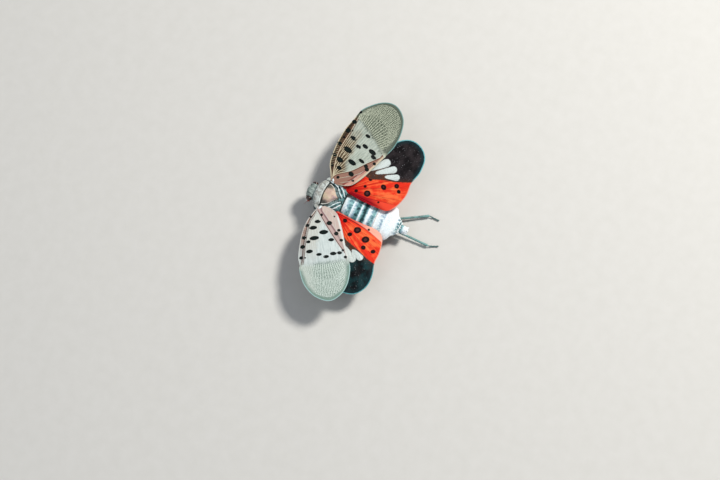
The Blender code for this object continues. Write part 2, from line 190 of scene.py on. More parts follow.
HINDWING_RISE = {LEFT: -1.0, RIGHT: 6.0}
MEMBRANE = 0.03
MAP_MARGIN = 1.04

# The forewing's net starts at a line between two points of the outline, counted in its points
NET_COSTAL_PLACE = {LEFT: 6.05, RIGHT: 6.36}
NET_HIND_PLACE = {LEFT: 16.33, RIGHT: 16.1}
NET_BULGE = 0.35
SUTURE = {LEFT: ((0.2, -0.9), (4.8, 0.9), (8.1, 2.4), (10.6, 3.75)),
          RIGHT: ((0.2, -0.7), (1.5, -0.3), (3.7, 1.5), (6.9, 3.0), (9.5, 4.3))}
COSTAL_VEIN = {LEFT: ((0.2, -0.6), (1.1, -1.15), (2.9, -2.5), (5.3, -3.35), (8.0, -4.05), (10.6, -4.55),
                      (12.0, -4.9)),
               RIGHT: ((0.2, -0.5), (1.0, -1.0), (3.6, -2.4), (5.9, -3.2), (8.1, -3.6), (10.0, -3.85),
                       (12.5, -4.35), (14.9, -4.85))}
CLAVAL_LINE = {LEFT: ((0.6, 0.1), (1.2, 0.35), (3.54, 1.45), (6.0, 2.55), (8.3, 3.5), (9.5, 3.95)),
               RIGHT: ((0.6, 2.1), (1.6, 2.45), (3.2, 2.95), (5.1, 3.54), (6.8, 4.0), (8.6, 4.5))}
# Veins with more points than this rise out of the sheet at their root
LONG_LINE = 10
# How much thicker the veins in the front part of each forewing are
STOUT_FRONT = {LEFT: 1.0, RIGHT: 1.45}
FRONT_SHARE = 0.6

# Spots: (out, behind, half length across the wing, half width)
FOREWING_SPOTS = {
    LEFT: ((1.76, -2.14, 0.26, 0.26), (3.58, -3.02, 0.44, 0.36), (6.19, -3.95, 0.48, 0.38),
           (8.12, -4.42, 0.5, 0.42), (10.43, -4.92, 0.42, 0.34), (2.97, -0.88, 0.62, 0.38),
           (4.25, -1.93, 0.78, 0.42), (5.47, 0.05, 0.88, 0.48), (6.55, -1.93, 0.93, 0.45),
           (7.21, -3.17, 0.45, 0.3), (7.29, 1.36, 0.58, 0.35), (9.31, -3.19, 0.68, 0.38),
           (10.2, -1.38, 0.54, 0.31), (10.82, -0.04, 0.56, 0.33), (10.31, 1.43, 0.64, 0.37),
           (10.26, 2.7, 0.48, 0.34), (10.55, -4.15, 0.18, 0.14), (1.57, 0.04, 0.26, 0.31),
           (3.58, 1.37, 0.56, 0.47), (2.22, 2.52, 0.2, 0.17), (6.03, 2.5, 0.45, 0.42),
           (5.34, 3.1, 0.34, 0.3), (7.56, 3.34, 0.37, 0.3), (9.76, 3.42, 0.26, 0.27),
           (11.25, 3.75, 0.33, 0.3)),
    RIGHT: ((14.6, -4.95, 0.28, 0.34), (12.2, -4.64, 0.52, 0.44), (9.98, -4.44, 0.6, 0.5),
            (8.33, -4.14, 0.28, 0.2), (6.75, -4.0, 0.55, 0.38), (4.25, -3.27, 0.5, 0.36),
            (2.25, -2.3, 0.36, 0.28), (1.22, -0.79, 0.24, 0.22), (10.46, -3.7, 0.2, 0.2),
            (9.29, -2.5, 0.68, 0.38), (11.41, -0.42, 0.58, 0.32), (8.49, -0.57, 0.6, 0.33),
            (9.38, 0.52, 0.64, 0.37), (6.69, -1.83, 0.97, 0.52), (9.33, 2.4, 0.82, 0.45),
            (8.62, 3.28, 0.6, 0.36), (4.06, -1.78, 0.77, 0.48), (5.13, 0.56, 0.9, 0.46),
            (6.52, 1.88, 0.64, 0.32), (2.65, -0.82, 0.58, 0.36), (6.23, 3.25, 0.4, 0.38),
            (5.83, 3.82, 0.44, 0.4), (7.7, 4.23, 0.34, 0.3), (3.12, 1.95, 0.56, 0.46),
            (0.98, 0.26, 0.3, 0.32), (2.27, 3.08, 0.28, 0.22)),
}
HINDWING_SPOTS = {
    LEFT: ((2.35, 1.74, 0.4, 0.4), (4.8, 3.84, 0.7, 0.62), (5.44, 2.18, 0.44, 0.37),
           (7.06, 5.08, 0.74, 0.62), (8.68, 4.36, 0.45, 0.42), (9.81, 6.12, 0.46, 0.36),
           (5.05, 6.11, 0.2, 0.2)),
    RIGHT: ((1.87, 1.42, 0.31, 0.32), (3.42, 3.16, 0.64, 0.62), (6.88, 3.85, 0.58, 0.46),
            (9.18, 5.12, 0.44, 0.44), (8.9, 6.33, 0.39, 0.32), (4.3, 5.99, 0.18, 0.18),
            (3.87, 1.65, 0.27, 0.27), (5.6, 0.9, 0.4, 0.36)),
}
# How square the spots are: 2 is an ellipse
FOREWING_SPOT_POWER = {LEFT: 1.8, RIGHT: 2.1}
HINDWING_SPOT_POWER = 2.0

# White patches of the hindwings: (start, end, half width at the end)
WHITE_PATCHES = {
    LEFT: (((7.4, 0.3), (10.6, 1.75), 0.78), ((8.9, 2.2), (10.6, 3.35), 0.66),
           ((7.4, -1.3), (10.2, -0.3), 0.7)),
    RIGHT: (((6.4, -1.0), (10.1, -0.25), 0.85), ((7.3, 0.45), (10.5, 1.78), 0.72),
            ((8.4, 2.2), (10.1, 3.55), 0.66)),
}
RED_BORDER = {
    LEFT: ((0.0, -1.2), (3.6, 0.2), (5.9, 1.0), (7.4, 2.0), (8.75, 3.1), (10.35, 4.2), (11.5, 5.05),
           (12.4, 5.95)),
    RIGHT: ((0.0, -1.3), (4.5, -0.5), (5.3, 0.4), (5.9, 1.2), (7.15, 2.2), (8.4, 3.3), (9.5, 4.3),
            (10.7, 5.2), (12.1, 6.15)),
}
FOLD_LINE = {LEFT: ((0.4, 0.4), (2.4, 2.8), (3.9, 4.55), (5.45, 6.05), (8.2, 8.15)),
             RIGHT: ((0.9, 1.0), (2.55, 3.5), (3.9, 5.1), (5.3, 6.6), (7.0, 8.55))}

# Legs: the joints from hip to claw, given for the left side
LEG_JOINTS = {
    "front": ((0.75, -2.2, 0.62), (2.0, -2.0, 0.66), (5.3, -1.2, 2.5), (8.1, 0.5, 0.5), (10.2, 1.9, 0.2)),
    "middle": ((0.75, 0.2, 0.62), (2.0, 0.5, 0.66), (5.9, 1.7, 2.5), (9.1, 5.2, 0.5), (10.3, 7.5, 0.2)),
    "hind": ((0.75, 2.5, 0.62), (1.5, 3.9, 0.75), (-0.1, 11.6, 1.0), (0.3, 21.5, 0.5), (-0.6, 23.5, 0.2)),
}
RIGHT_HIND_JOINTS = ((-0.75, 2.5, 0.62), (-1.5, 3.9, 0.75), (-1.05, 11.2, 0.95), (-5.85, 19.3, 0.5),
                     (-5.75, 21.5, 0.2))
LEG_PARTS = ("coxa", "femur", "tibia", "tarsus")
LEG_SEED = 31
# The lowest that the middle of a limb and the root of a hair may lie
LOWEST_LIMB = 0.17
LOWEST_HAIR = 0.12
# Radii along a limb, as (share of its length, radius)
HIP_PROFILE = ((0, 0.3), (0.45, 0.34), (1, 0.24))
THIGH_PROFILE = ((0, 0.15), (0.08, 0.22), (0.4, 0.31), (0.85, 0.26), (0.95, 0.24), (1, 0.12))
SHIN_PROFILE = ((0, 0.14), (0.04, 0.26), (0.12, 0.24), (0.8, 0.22), (0.96, 0.27), (1, 0.16))
TOE_PROFILE = ((0, 0.09), (0.5, 0.12), (0.9, 0.17), (1, 0.1))
# How many bristles a limb has, and how long they are
THIGH_BRISTLES = (70, 0.2)
SHIN_BRISTLES = (130, 0.22)
TOE_BRISTLES = (26, 0.14)
SHIN_SPINES = {"front": 0, "middle": 0, "hind": 5}
# How thick the blue-grey coat, part wax and part painted highlight, is on a pair's shins
LEG_BLOOM_AND_HIGHLIGHT = {"front": 0.7, "middle": 0.7, "hind": 1.0}
# Where a foot's joints lie between ankle and claw, and how high
TOE_SHARES = (0.0, 0.36, 0.6, 0.92)
TOE_HEIGHT = 0.2

# Colours, on the photo's 0 to 255 scale
BLACK_GREEN = (4, 8, 8)
SPOT_SHEEN = (7, 24, 20)
CALM_NET = (192, 199, 189)
# The right forewing's tones are darker than the left's: partly painted shade, as that wing tilts away from
# the light.
FOREWING_COLOURS = {
    "ground": {LEFT: (208, 217, 214), RIGHT: (184, 193, 182)},
    "ground_shade": {LEFT: (186, 197, 195), RIGHT: (154, 164, 152)},
    "tan": {LEFT: (196, 197, 188), RIGHT: (86, 66, 42)},
    "strip": {LEFT: (168, 144, 132), RIGHT: (86, 70, 50)},
    "strip_shade": {LEFT: (130, 106, 94), RIGHT: (50, 40, 30)},
    "pink": {LEFT: (200, 184, 172), RIGHT: (208, 160, 142)},
    "pink_shade": {LEFT: (184, 160, 154), RIGHT: (152, 114, 98)},
    "groove": {LEFT: (88, 60, 50), RIGHT: (98, 62, 46)},
    "claval": {LEFT: (130, 98, 100), RIGHT: (132, 62, 56)},
    "vein": {LEFT: (220, 227, 222), RIGHT: (208, 196, 166)},
    "vein_rear": {LEFT: (214, 222, 218), RIGHT: (196, 200, 184)},
    "net_ground": {LEFT: (152, 168, 157), RIGHT: (96, 105, 89)},
    "net_shade": {LEFT: (112, 130, 120), RIGHT: (62, 70, 57)},
    "net_vein": {LEFT: (196, 208, 199), RIGHT: (160, 166, 145)},
    "net_thread": {LEFT: (224, 234, 226), RIGHT: (206, 211, 188)},
    "band": {LEFT: (112, 140, 128), RIGHT: (84, 94, 82)},
    "rim": {LEFT: (162, 196, 192), RIGHT: (118, 160, 156)},
    # Painted shade where the black hindwing lies under the net's hind corner
    "painted_tornus_shade": {LEFT: (150, 164, 156), RIGHT: (58, 68, 60)},
}
# How pale the strip, the veins and the front of the net are on each forewing
STRIP_FADE = {LEFT: 0.8, RIGHT: 0.0}
VEIN_STRENGTH = {LEFT: 0.5, RIGHT: 0.92}
NET_CALM = {LEFT: 0.65, RIGHT: 0.0}
HINDWING_RED = (228, 50, 30)
HINDWING_ORANGE = (248, 112, 62)
HINDWING_BROWN = (88, 54, 38)
HINDWING_WHITE = (216, 225, 221)
HINDWING_GREY = (200, 209, 206)
CRIMSON = (138, 10, 26)
# A painted highlight along the outer rim of the hindwing's red part
RED_EDGE_HIGHLIGHT = (244, 176, 156)
TEAL_BLACK = (20, 42, 47)
SPECK = (170, 172, 176)
TIP_VEIN = (84, 74, 74)
PATCH_VEIN = (140, 136, 126)
RED_SPOT = (26, 14, 16)
RED_SPOT_CENTRE = (82, 44, 44)
HINDWING_COLOURS = {
    "root_red": {LEFT: (212, 20, 15), RIGHT: (192, 16, 14)},
    "lobe_pale": {LEFT: (250, 178, 156), RIGHT: (232, 72, 48)},
    # On the right hindwing the deep lobe tone is painted shade: that wing's inner edge slopes away from the
    # light beside the abdomen.
    "lobe_deep": {LEFT: (234, 92, 72), RIGHT: (158, 14, 28)},
    "black": {LEFT: (12, 16, 19), RIGHT: (18, 15, 17)},
    "sheen": {LEFT: (24, 62, 66), RIGHT: (54, 48, 50)},
    "rim": {LEFT: (92, 158, 164), RIGHT: (112, 184, 190)},
}
# Shell: how far painted shade darkens its pits, then its pale, middle and dark tones and its white wax
CUTICLE_COLOURS = {
    "head": (0.18, (160, 172, 166), (116, 128, 123), (66, 76, 74), (212, 220, 214)),
    "pronotum": (0.18, (198, 205, 200), (156, 155, 148), (90, 92, 88), (224, 231, 226)),
    "thorax": (0.2, (130, 150, 150), (64, 76, 77), (26, 30, 32), (180, 196, 196)),
    "flank": (0.15, (124, 172, 172), (66, 108, 111), (28, 48, 52), (240, 248, 248)),
}


def smooth_step(value, low, high):
    """Rise smoothly from 0 at low to 1 at high."""
    t = np.clip((np.asarray(value, float) - low) / (high - low), 0.0, 1.0)
    return t * t * (3 - 2 * t)


def ridge(value, centre, width):
    """A smooth hump of height 1."""
    return np.exp(-((np.asarray(value) - centre) / width) ** 2)


def noise_at(points):
    """Smooth noise between about -1 and 1 at each point."""
    points = np.asarray(points, float)
    values = [noise.noise(Vector(point)) for point in points.reshape(-1, 3)]
    return np.array(values).reshape(points.shape[:-1])


def noise_over(x, y, pitch, third=0.0):
    """The same over a sheet, with pitch lumps to a millimetre. Third picks one of many patterns."""
    return noise_at(np.stack((x * pitch, y * pitch, 0 * x + third), axis=-1))


def unit(vectors):
    """Vectors made 1 long."""
    return vectors / np.linalg.norm(vectors, axis=-1, keepdims=True)


def mirrored(points, side):
    """Points that are given for the left side, on the given side."""
    return np.asarray(points, float) * (side, 1.0, 1.0)


def curve_through(points, steps=CURVE_STEPS):
    """A dense line along the smooth curve through some points."""
    points = np.array(points, float)
    last = len(points) - 1
    line = []
    for i in range(last):
        before, start, end, after = (points[max(0, min(last, k))] for k in (i - 1, i, i + 1, i + 2))
        for step in range(steps):
            t = step / steps
            line.append((start * 2 + (end - before) * t + (before * 2 - start * 5 + end * 4 - after) * t ** 2
                         + (start * 3 - before - end * 3 + after) * t ** 3) / 2)
    line.append(points[-1])
    return np.array(line)


class Path:
    """A line that is read by the fraction of its length."""

    def __init__(self, line):
        self.line = np.array(line, float)
        runs = np.linalg.norm(np.diff(self.line, axis=0), axis=1)
        self.along = np.concatenate(([0.0], np.cumsum(runs))) / runs.sum()

    def at(self, fraction):
        return np.stack([np.interp(fraction, self.along, column) for column in self.line.T], axis=-1)


def distance_to_line(points, line):
    """How far each point is from a line."""
    flat = points.reshape(-1, line.shape[1])
    nearest = np.full(len(flat), np.inf)
    for start, end in zip(line, line[1:]):
        run = end - start
        t = np.clip(((flat - start) @ run) / (run @ run + TINY), 0.0, 1.0)
        nearest = np.minimum(nearest, np.linalg.norm(flat - start - t[:, None] * run, axis=1))
    return nearest.reshape(points.shape[:-1])


class Shape:
    """The points and faces of one piece, in millimetres in the body frame."""

    def __init__(self):
        self.points = []
        self.faces = []
        self.finishes = []
        self.fields = {}

    def add_points(self, points, fields=None):
        first = len(self.points)
        points = np.asarray(points, float).reshape(-1, 3)
        self.points.extend(points)
        for name, values in (fields or {}).items():
            stored = self.fields.setdefault(name, [])
            stored.extend([0.0] * (first - len(stored)))
            stored.extend(np.broadcast_to(np.asarray(values, float).ravel(), (len(points),)))
        return first

    def add_face(self, corners, finish=0):
        self.faces.append(tuple(corners))
        self.finishes.append(finish)

    def add_grid(self, grid, wrap=False, flip=False, finish=0, fields=None):
        """Faces over a grid of rows. Wrap joins each row's end to its start."""
        rows, columns = grid.shape[:2]
        first = self.add_points(grid, fields)
        for here in range(first, first + (rows - 1) * columns, columns):
            for c in range(columns if wrap else columns - 1):
                after = (c + 1) % columns
                corners = (here + c, here + after, here + columns + after, here + columns + c)
                self.add_face(reversed(corners) if flip else corners, finish)
        return first

    def add_loft(self, grid, finish=0, fields=None):
        """A closed solid through rings, with its ends capped."""
        rows, columns = grid.shape[:2]
        first = self.add_grid(grid, wrap=True, finish=finish, fields=fields)
        self.add_face(reversed(range(first, first + columns)), finish)
        end = first + (rows - 1) * columns
        self.add_face(range(end, end + columns), finish)

    def add_slab(self, top, bottom, finish=0, fields=None):
        """A closed sheet between two like grids."""
        rows, columns = top.shape[:2]
        over = self.add_grid(top, finish=finish, fields=fields)
        under = self.add_grid(bottom, flip=True, finish=finish, fields=fields)
        rim = [(0, c) for c in range(columns)] + [(r, columns - 1) for r in range(1, rows)]
        rim += [(rows - 1, c) for c in range(columns - 2, -1, -1)] + [(r, 0) for r in range(rows - 2, 0, -1)]
        for here, after in zip(rim, rim[1:] + rim[:1]):
            if np.allclose(top[here], top[after]):
                continue
            here, after = (r * columns + c for r, c in (here, after))
            self.add_face((over + after, over + here, under + here, under + after), finish)

    def add_tube(self, path, radii, sides=6, fields=None, squash=1.0):
        """A round limb along a path, with the given radius at each of its points."""
        path = np.asarray(path, float)
        radii = np.broadcast_to(np.asarray(radii, float), (len(path),))[:, None, None]
        along = unit(np.gradient(path, axis=0))
        side = unit(np.cross(along, UPRIGHT if abs(along[:, 2]).max() < STEEP else LEVEL))
        up = np.cross(side, along)
        angles = (2 * math.pi * (np.arange(sides) + 0.5) / sides)[None, :, None]
        ring = side[:, None] * np.cos(angles) + up[:, None] * np.sin(angles) * squash
        grid = path[:, None] + radii * ring
        fields = {name: np.repeat(np.broadcast_to(values, (len(path),)), sides)
                  for name, values in (fields or {}).items()}
        self.add_loft(grid[:, ::-1], fields=fields)

    def add_ball(self, centre, radii, turn=0.0, rows=12, columns=18, finish=0, rough=0.0, seed=0.0,
                 fields=None):
        """An egg-shaped lump, turned about the vertical, and made uneven where rough is set."""
        down = np.linspace(POLE, math.pi - POLE, rows)[:, None]
        around = np.linspace(0, 2 * math.pi, columns, endpoint=False)
        ball = np.stack((np.sin(down) * np.cos(around), np.sin(down) * np.sin(around),
                         np.cos(down) + 0 * around), axis=-1)
        if rough:
            ball *= 1 + rough * noise_at(ball * BALL_LUMPS + seed)[..., None]
        x, y, z = np.moveaxis(ball * radii, -1, 0)
        c = math.cos(math.radians(turn))
        s = math.sin(math.radians(turn))
        turned = np.stack((x * c - y * s, x * s + y * c, z), axis=-1)
        self.add_loft((turned + centre)[:, ::-1], finish=finish, fields=fields)

    def to_piece(self, name, materials, nodes, slot, bake=None):
        """Make the object, stand it for its nodes and let it ride on the body."""
        mesh = bpy.data.meshes.new(name)
        points = (np.array(self.points) + BODY_SHIFT) * MM
        mesh.from_pydata(points.tolist(), [], [list(face) for face in self.faces])
        for material in materials:
            mesh.materials.append(material)
        mesh.polygons.foreach_set("material_index", self.finishes)
        for field, values in self.fields.items():
            values = np.concatenate((np.asarray(values, float), np.zeros(len(self.points) - len(values))))
            mesh.attributes.new(field, "FLOAT", "POINT").data.foreach_set("value", values)
        if bake is not None:
            corners = np.empty(len(mesh.loops), dtype=np.int32)
            mesh.loops.foreach_get("vertex_index", corners)
            mesh.uv_layers.new(name="OFBake").data.foreach_set("uv", bake[corners].ravel())
        mesh.shade_smooth()
        mesh.set_sharp_from_angle(angle=math.radians(SHARP_ANGLE))
        piece = bpy.data.objects.new(name, mesh)
        bpy.context.scene.collection.objects.link(piece)
        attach(piece, "root")
        if nodes:
            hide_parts(*nodes)


def linear(colour):
    """A colour that is read off the photo's 0 to 255 scale, as the renderer counts light."""
    return tuple((channel / 255 / 12.92) if channel < 10 else ((channel / 255 + 0.055) / 1.055) ** 2.4
                 for channel in colour)


class Value:
    """A number or colour in a material. Numbers add and multiply as plain ones do."""

    def __init__(self, look, socket):
        self.look = look
        self.socket = socket

    def __add__(self, other):
        return self.look.calculate("ADD", self, other)

    def __sub__(self, other):
        return self.look.calculate("SUBTRACT", self, other)

    def __mul__(self, other):
        return self.look.calculate("MULTIPLY", self, other)

    def step(self, low, high, start=0.0, end=1.0):
        """A smooth step from start at low to end at high."""
        inputs = {"Value": self, "From Min": low, "From Max": high, "To Min": start, "To Max": end}
        return self.look.node("MapRange", "Result", inputs, interpolation_type="SMOOTHSTEP")


class Look:
    """A material and the nodes that colour it."""

    def __init__(self, name, roughness, specular):
        self.material = bpy.data.materials.new(name)
        self.material.use_nodes = True
        self.tree = self.material.node_tree
        self.shader = self.tree.nodes["Principled BSDF"]
        self.shader.inputs["Roughness"].default_value = roughness
        self.shader.inputs["Specular IOR Level"].default_value = specular

    def node(self, kind, output, inputs, **settings):
        """One output of a new node."""
        node = self.tree.nodes.new(f"ShaderNode{kind}")
        for key, value in settings.items():
            setattr(node, key, value)
        for key, value in inputs.items():
            self.join(value, node.inputs[key])
        return Value(self, node.outputs[output])

    def join(self, value, socket):
        if isinstance(value, Value):
            self.tree.links.new(value.socket, socket)
        else:
            socket.default_value = (*linear(value), 1.0) if socket.type == "RGBA" else value

    def calculate(self, operation, *numbers):
        return self.node("Math", 0, dict(enumerate(numbers)), operation=operation)

    def fields(self, *names):
        return [self.node("Attribute", "Fac", {}, attribute_name=name) for name in names]

    def place(self, stretch=(1.0, 1.0, 1.0)):
        """The point on the object, in millimetres, stretched along the axes."""
        coordinates = self.node("TexCoord", "Object", {})
        scale = tuple(value / MM for value in stretch)
        return self.node("Mapping", "Vector", {"Vector": coordinates, "Scale": scale})

    def flat_place(self, across=1.0, down=1.0, names=("out", "behind")):
        """The point on a wing that two of its fields give, with each stretched."""
        x, y = self.fields(*names)
        return self.node("CombineXYZ", "Vector", {"X": x * across, "Y": y * down})

    def noise(self, place, scale, detail=3.0, roughness=0.55):
        inputs = {"Vector": place, "Scale": scale, "Detail": detail, "Roughness": roughness}
        return self.node("TexNoise", "Fac", inputs)

    def cells(self, place, scale):
        return self.node("TexVoronoi", "Distance", {"Vector": place, "Scale": scale})

    def threads(self, place, scale, width):
        """Winding threads: 1 along the middle of each, 0 beyond its width."""
        away = self.noise(place, scale, detail=1.0) - 0.5
        return self.calculate("ABSOLUTE", away).step(width, 0.0)

    def layers(self, base, *coats):
        """A base colour under coats, each of which is how thick it lies and its colour."""
        for amount, tone in coats:
            inputs = {"Factor": amount, MIX_UNDER: base, MIX_OVER: tone}
            base = self.node("Mix", MIX_RESULT, inputs, data_type="RGBA")
        return base

    def finish(self, colour, height=None, depth=0.0):
        """The material, coloured and raised by height x depth, in millimetres."""
        self.join(colour, self.shader.inputs["Base Color"])
        if height is not None:
            inputs = {"Height": height, "Distance": depth * MM, "Strength": 1.0}
            self.join(self.node("Bump", "Normal", inputs), self.shader.inputs["Normal"])
        return self.material


def forewing_look(side):
    """Pale with black spots, cream veins, a pinkish rear strip, a netted tip and a teal rim."""
    look = Look(f"forewing_{SIDE_NAMES[side]}", roughness=0.5, specular=0.15)
    tone = {name: pair[side] for name, pair in FOREWING_COLOURS.items()}
    vein, front, suture, claval, net = look.fields("vein", "front", "suture", "claval", "net")
    edge, out, spot = look.fields("edge", "out", "spot")
    streaks = look.noise(look.flat_place(0.4, 2.6), 1.0, detail=5.0)
    grain = look.noise(look.flat_place(), 5.0, detail=4.0)
    cloud = look.noise(look.flat_place(), 0.7)
    tanned = (cloud * 1.4 + front).step(3.7, 2.5) * (cloud * 4.0 + out).step(15.0, 9.0)
    in_strip = front.step(0.06, -0.06)
    strip = look.layers(tone["strip_shade"], (streaks.step(0.4, 0.62), tone["strip"]))
    beside_costal = front.step(-0.42, -0.2) * front.step(0.3, 0.14)
    at_suture = suture.step(0.02, 0.1) * suture.step(0.34, 0.2)
    in_rear = suture.step(-0.05, 0.05)
    at_claval = claval.step(-0.26, -0.06) * claval.step(0.26, 0.1)
    rear = look.layers(tone["pink_shade"], (claval.step(-0.25, 0.2), tone["pink"]),
                       (streaks.step(0.6, 0.4) * 0.5, tone["pink_shade"]),
                       (at_claval * out.step(8.5, 5.0, 0.2, 0.9), tone["claval"]))
    pale_edge = in_rear * out.step(1.5, 3.0) * edge.step(0.45, 0.25)
    vein_tone = look.layers(tone["vein_rear"], (look.calculate("MAXIMUM", tanned, in_strip), tone["vein"]))
    stiff = look.layers(
        tone["ground_shade"], (streaks.step(0.35, 0.66), tone["ground"]), (tanned * 0.95, tone["tan"]),
        (in_strip, strip), (in_strip * out.step(5.5, 10.5) * STRIP_FADE[side], tone["ground_shade"]),
        (beside_costal * 0.85, tone["groove"]), (in_rear, rear), (at_suture * 0.85, tone["groove"]),
        (pale_edge * 0.75, tone["vein"]), (vein * VEIN_STRENGTH[side], vein_tone))
    netted = (grain * 0.9 + cloud * 1.4 + net).step(0.5, 1.8)
    outside = net.step(0.6, 1.6)
    band = (cloud * 0.6 + grain * 0.5 + edge).step(1.5, 0.75)
    inside = grain * 0.08 - 0.04 + spot
    spots = look.layers(BLACK_GREEN, (inside.step(-0.08, -0.26), SPOT_SHEEN))
    mesh = net_colour(look, side, tone, grain, cloud)
    return look.finish(look.layers(
        stiff, (netted, mesh), (outside * band * 0.85, tone["band"]),
        (outside * edge.step(0.16, 0.08), tone["rim"]), (inside.step(0.06, -0.02), spots)),
        grain * 0.6 + streaks, 0.03)


def net_colour(look, side, tone, grain, cloud):
    """The forewing's net: pale veins over a ground with dark threads, calm in front, with painted shade in
    its hind corner.
    """
    vein, net, edge, out, behind = look.fields("vein", "net", "edge", "out", "behind")
    threads = look.threads(look.flat_place(1.0, 1.3), 1.7, 0.1)
    veins = look.layers(tone["net_vein"], (grain.step(0.38, 0.56), tone["net_thread"]))
    calm = (cloud * 3.0 + behind).step(-0.4, -3.0)
    # Painted shade where the black hindwing lies under the net's hind corner
    painted_tornus_shade = behind.step(2.0, 3.6) * out.step(10.0, 11.2) * (out * 0.2 + edge).step(3.9, 3.2)
    return look.layers(
        tone["net_shade"], (net.step(0.0, 0.8), tone["net_ground"]), (threads * 0.7, tone["net_shade"]),
        (vein, veins), (calm * NET_CALM[side], CALM_NET), (painted_tornus_shade * 0.7, tone["painted_tornus_shade"]))


def hindwing_look(side):
    """Red with black spots, a black tip with a teal rim, and white patches between."""
    look = Look(f"hindwing_{SIDE_NAMES[side]}", roughness=0.6, specular=0.08)
    tone = {name: pair[side] for name, pair in HINDWING_COLOURS.items()}
    vein, out, edge, lobe, fold = look.fields("vein", "out", "edge", "lobe", "fold")
    spot, red = look.fields("spot", "red")
    rays = look.noise(look.flat_place(34.0, 2.0, ("ray", "reach")), 1.0)
    grain = look.noise(look.flat_place(), 4.0, detail=4.0)
    cloud = look.noise(look.flat_place(), 0.55)
    # On the right wing the lobe's deep tone is painted shade
    lobe_tone = look.layers(tone["lobe_deep"], ((rays * 1.2 + out).step(3.2, 5.6), tone["lobe_pale"]))
    reds = look.layers(
        HINDWING_RED, ((cloud * 0.7 + rays).step(0.74, 1.02), HINDWING_ORANGE),
        ((rays * 2.0 + out).step(5.6, 2.6, 0.0, 0.85), tone["root_red"]), (vein * 0.5, CRIMSON),
        # Darker crimson along the fold near the root: painted shade in its crease
        (lobe.step(-0.08, 0.12), lobe_tone), (fold.step(0.16, 0.03) * out.step(6.5, 3.0, 0.35, 0.9), CRIMSON),
        # Painted highlight along the outer rim
        (edge.step(0.16, 0.06) * out.step(4.5, 7.0) * 0.7, RED_EDGE_HIGHLIGHT))
    border = (grain * 0.3 - 0.15 + red).step(-0.1, 0.08)
    ragged = grain * 0.24 - 0.12 + spot
    centre = look.layers(RED_SPOT, (ragged.step(-0.22, -0.4), RED_SPOT_CENTRE))
    return look.finish(look.layers(dark_tip(look, tone, grain, cloud), (border, reds),
                                   (ragged.step(0.1, 0.0) * border, centre)), grain * 0.5 + rays, 0.03)


def dark_tip(look, tone, grain, cloud):
    """The hindwing's black part: brown near the red, specked, with white patches and a teal rim."""
    vein, out, edge, white, red = look.fields("vein", "out", "edge", "white", "red")
    specks = look.noise(look.flat_place(), 4.6, detail=0.0).step(0.75, 0.8)
    near_rim = out.step(11.8, 13.6)
    patch = look.layers(HINDWING_WHITE, (grain.step(0.35, 0.65), HINDWING_GREY), (vein * 0.4, PATCH_VEIN))
    return look.layers(
        HINDWING_BROWN, ((grain * 1.5 + out).step(9.0, 11.4), tone["black"]),
        ((grain * 0.5 + cloud + red).step(-0.4, 0.85, 0.0, 0.6), HINDWING_BROWN), (specks * 0.6, SPECK),
        (vein * 0.16, TIP_VEIN), (cloud.step(0.4, 0.64, 0.0, 0.65), tone["sheen"]),
        (near_rim * (grain * 0.6 + edge).step(1.5, 0.5), TEAL_BLACK),
        (near_rim * (grain * 0.2 + edge).step(0.3, 0.18), tone["rim"]),
        ((grain * 0.2 - 0.1 + white).step(0.08, -0.06), patch))


def wax_look():
    """The abdomen: thick white wax over blue-grey bands above, yellow with dark bands below."""
    look = Look("wax", roughness=0.85, specular=0.15)
    bare, patchy, seam, within, below = look.fields("bare", "patchy", "seam", "within", "belly")
    grain = look.noise(look.place(), 4.0, detail=6.0, roughness=0.65)
    blotch = look.noise(look.place((0.9, 1.6, 0.9)), 1.0, detail=4.0)
    streak = look.noise(look.place((2.0, 1.4, 2.0)), 1.0, detail=6.0, roughness=0.65)
    bare = (streak * 2.3 + blotch + grain * 0.5 - 1.9) * patchy + bare
    white = look.layers((212, 230, 234), (grain.step(0.3, 0.62), (242, 247, 249)))
    thin = look.layers((134, 186, 184), (streak.step(0.42, 0.58), (162, 182, 202)))
    top = look.layers(white, (bare.step(0.08, 0.5), thin), (bare.step(0.45, 0.9), (84, 126, 130)),
                      (bare.step(0.85, 1.25), (34, 60, 64)), (seam.step(0.3, 0.9) * 0.75, (176, 128, 84)))
    belly = look.layers((206, 168, 70), ((grain * 0.3 - 0.5 + within).step(0.5, 0.42), (46, 40, 38)),
                        (grain.step(0.55, 0.75), (206, 210, 200)))
    return look.finish(look.layers(top, (below.step(0.4, 0.6), belly)), grain * 0.7 + streak, 0.06)


def clot_look():
    """Loose clots of white wax."""
    look = Look("wax_clots", roughness=0.9, specular=0.15)
    grain = look.noise(look.place(), 6.0, detail=5.0)
    return look.finish(look.layers((226, 240, 241), (grain.step(0.3, 0.6), (246, 250, 250))), grain, 0.05)


def cuticle_look(name, pitted, pale, mid, dark, white):
    """Finely pitted shell, with painted shade in its pits and grooves, and white where wax lies on its
    ridges.
    """
    look = Look(name, roughness=0.7, specular=0.2)
    place = look.place()
    groove, ridges = look.fields("groove", "ridge")
    pits = look.cells(place, 15.0)
    cloud = look.noise(place, 1.5, detail=6.0, roughness=0.65)
    grain = look.noise(place, 7.0, detail=4.0)
    specks = look.noise(place, 3.2, detail=2.0)
    colour = look.layers(
        # Painted shade darkens the pits
        mid, (cloud.step(0.38, 0.6), pale), ((grain * 0.5 - 0.5 + pits).step(0.38, 0.1) * pitted, dark),
        (specks.step(0.52, 0.7, 0.0, 0.75), dark), (grain.step(0.56, 0.74, 0.0, 0.4), white),
        # Near black painted shade in the grooves, seams, hollows and gaps
        ((grain * 0.4 - 0.5 + groove).step(0.12, 0.6) * 0.92, (16, 22, 22)),
        ((grain * 0.6 - 0.5 + ridges).step(0.22, 0.62) * 0.9, white))
    return look.finish(colour, pits.step(0.0, 0.35) * 0.5 + grain, 0.03)


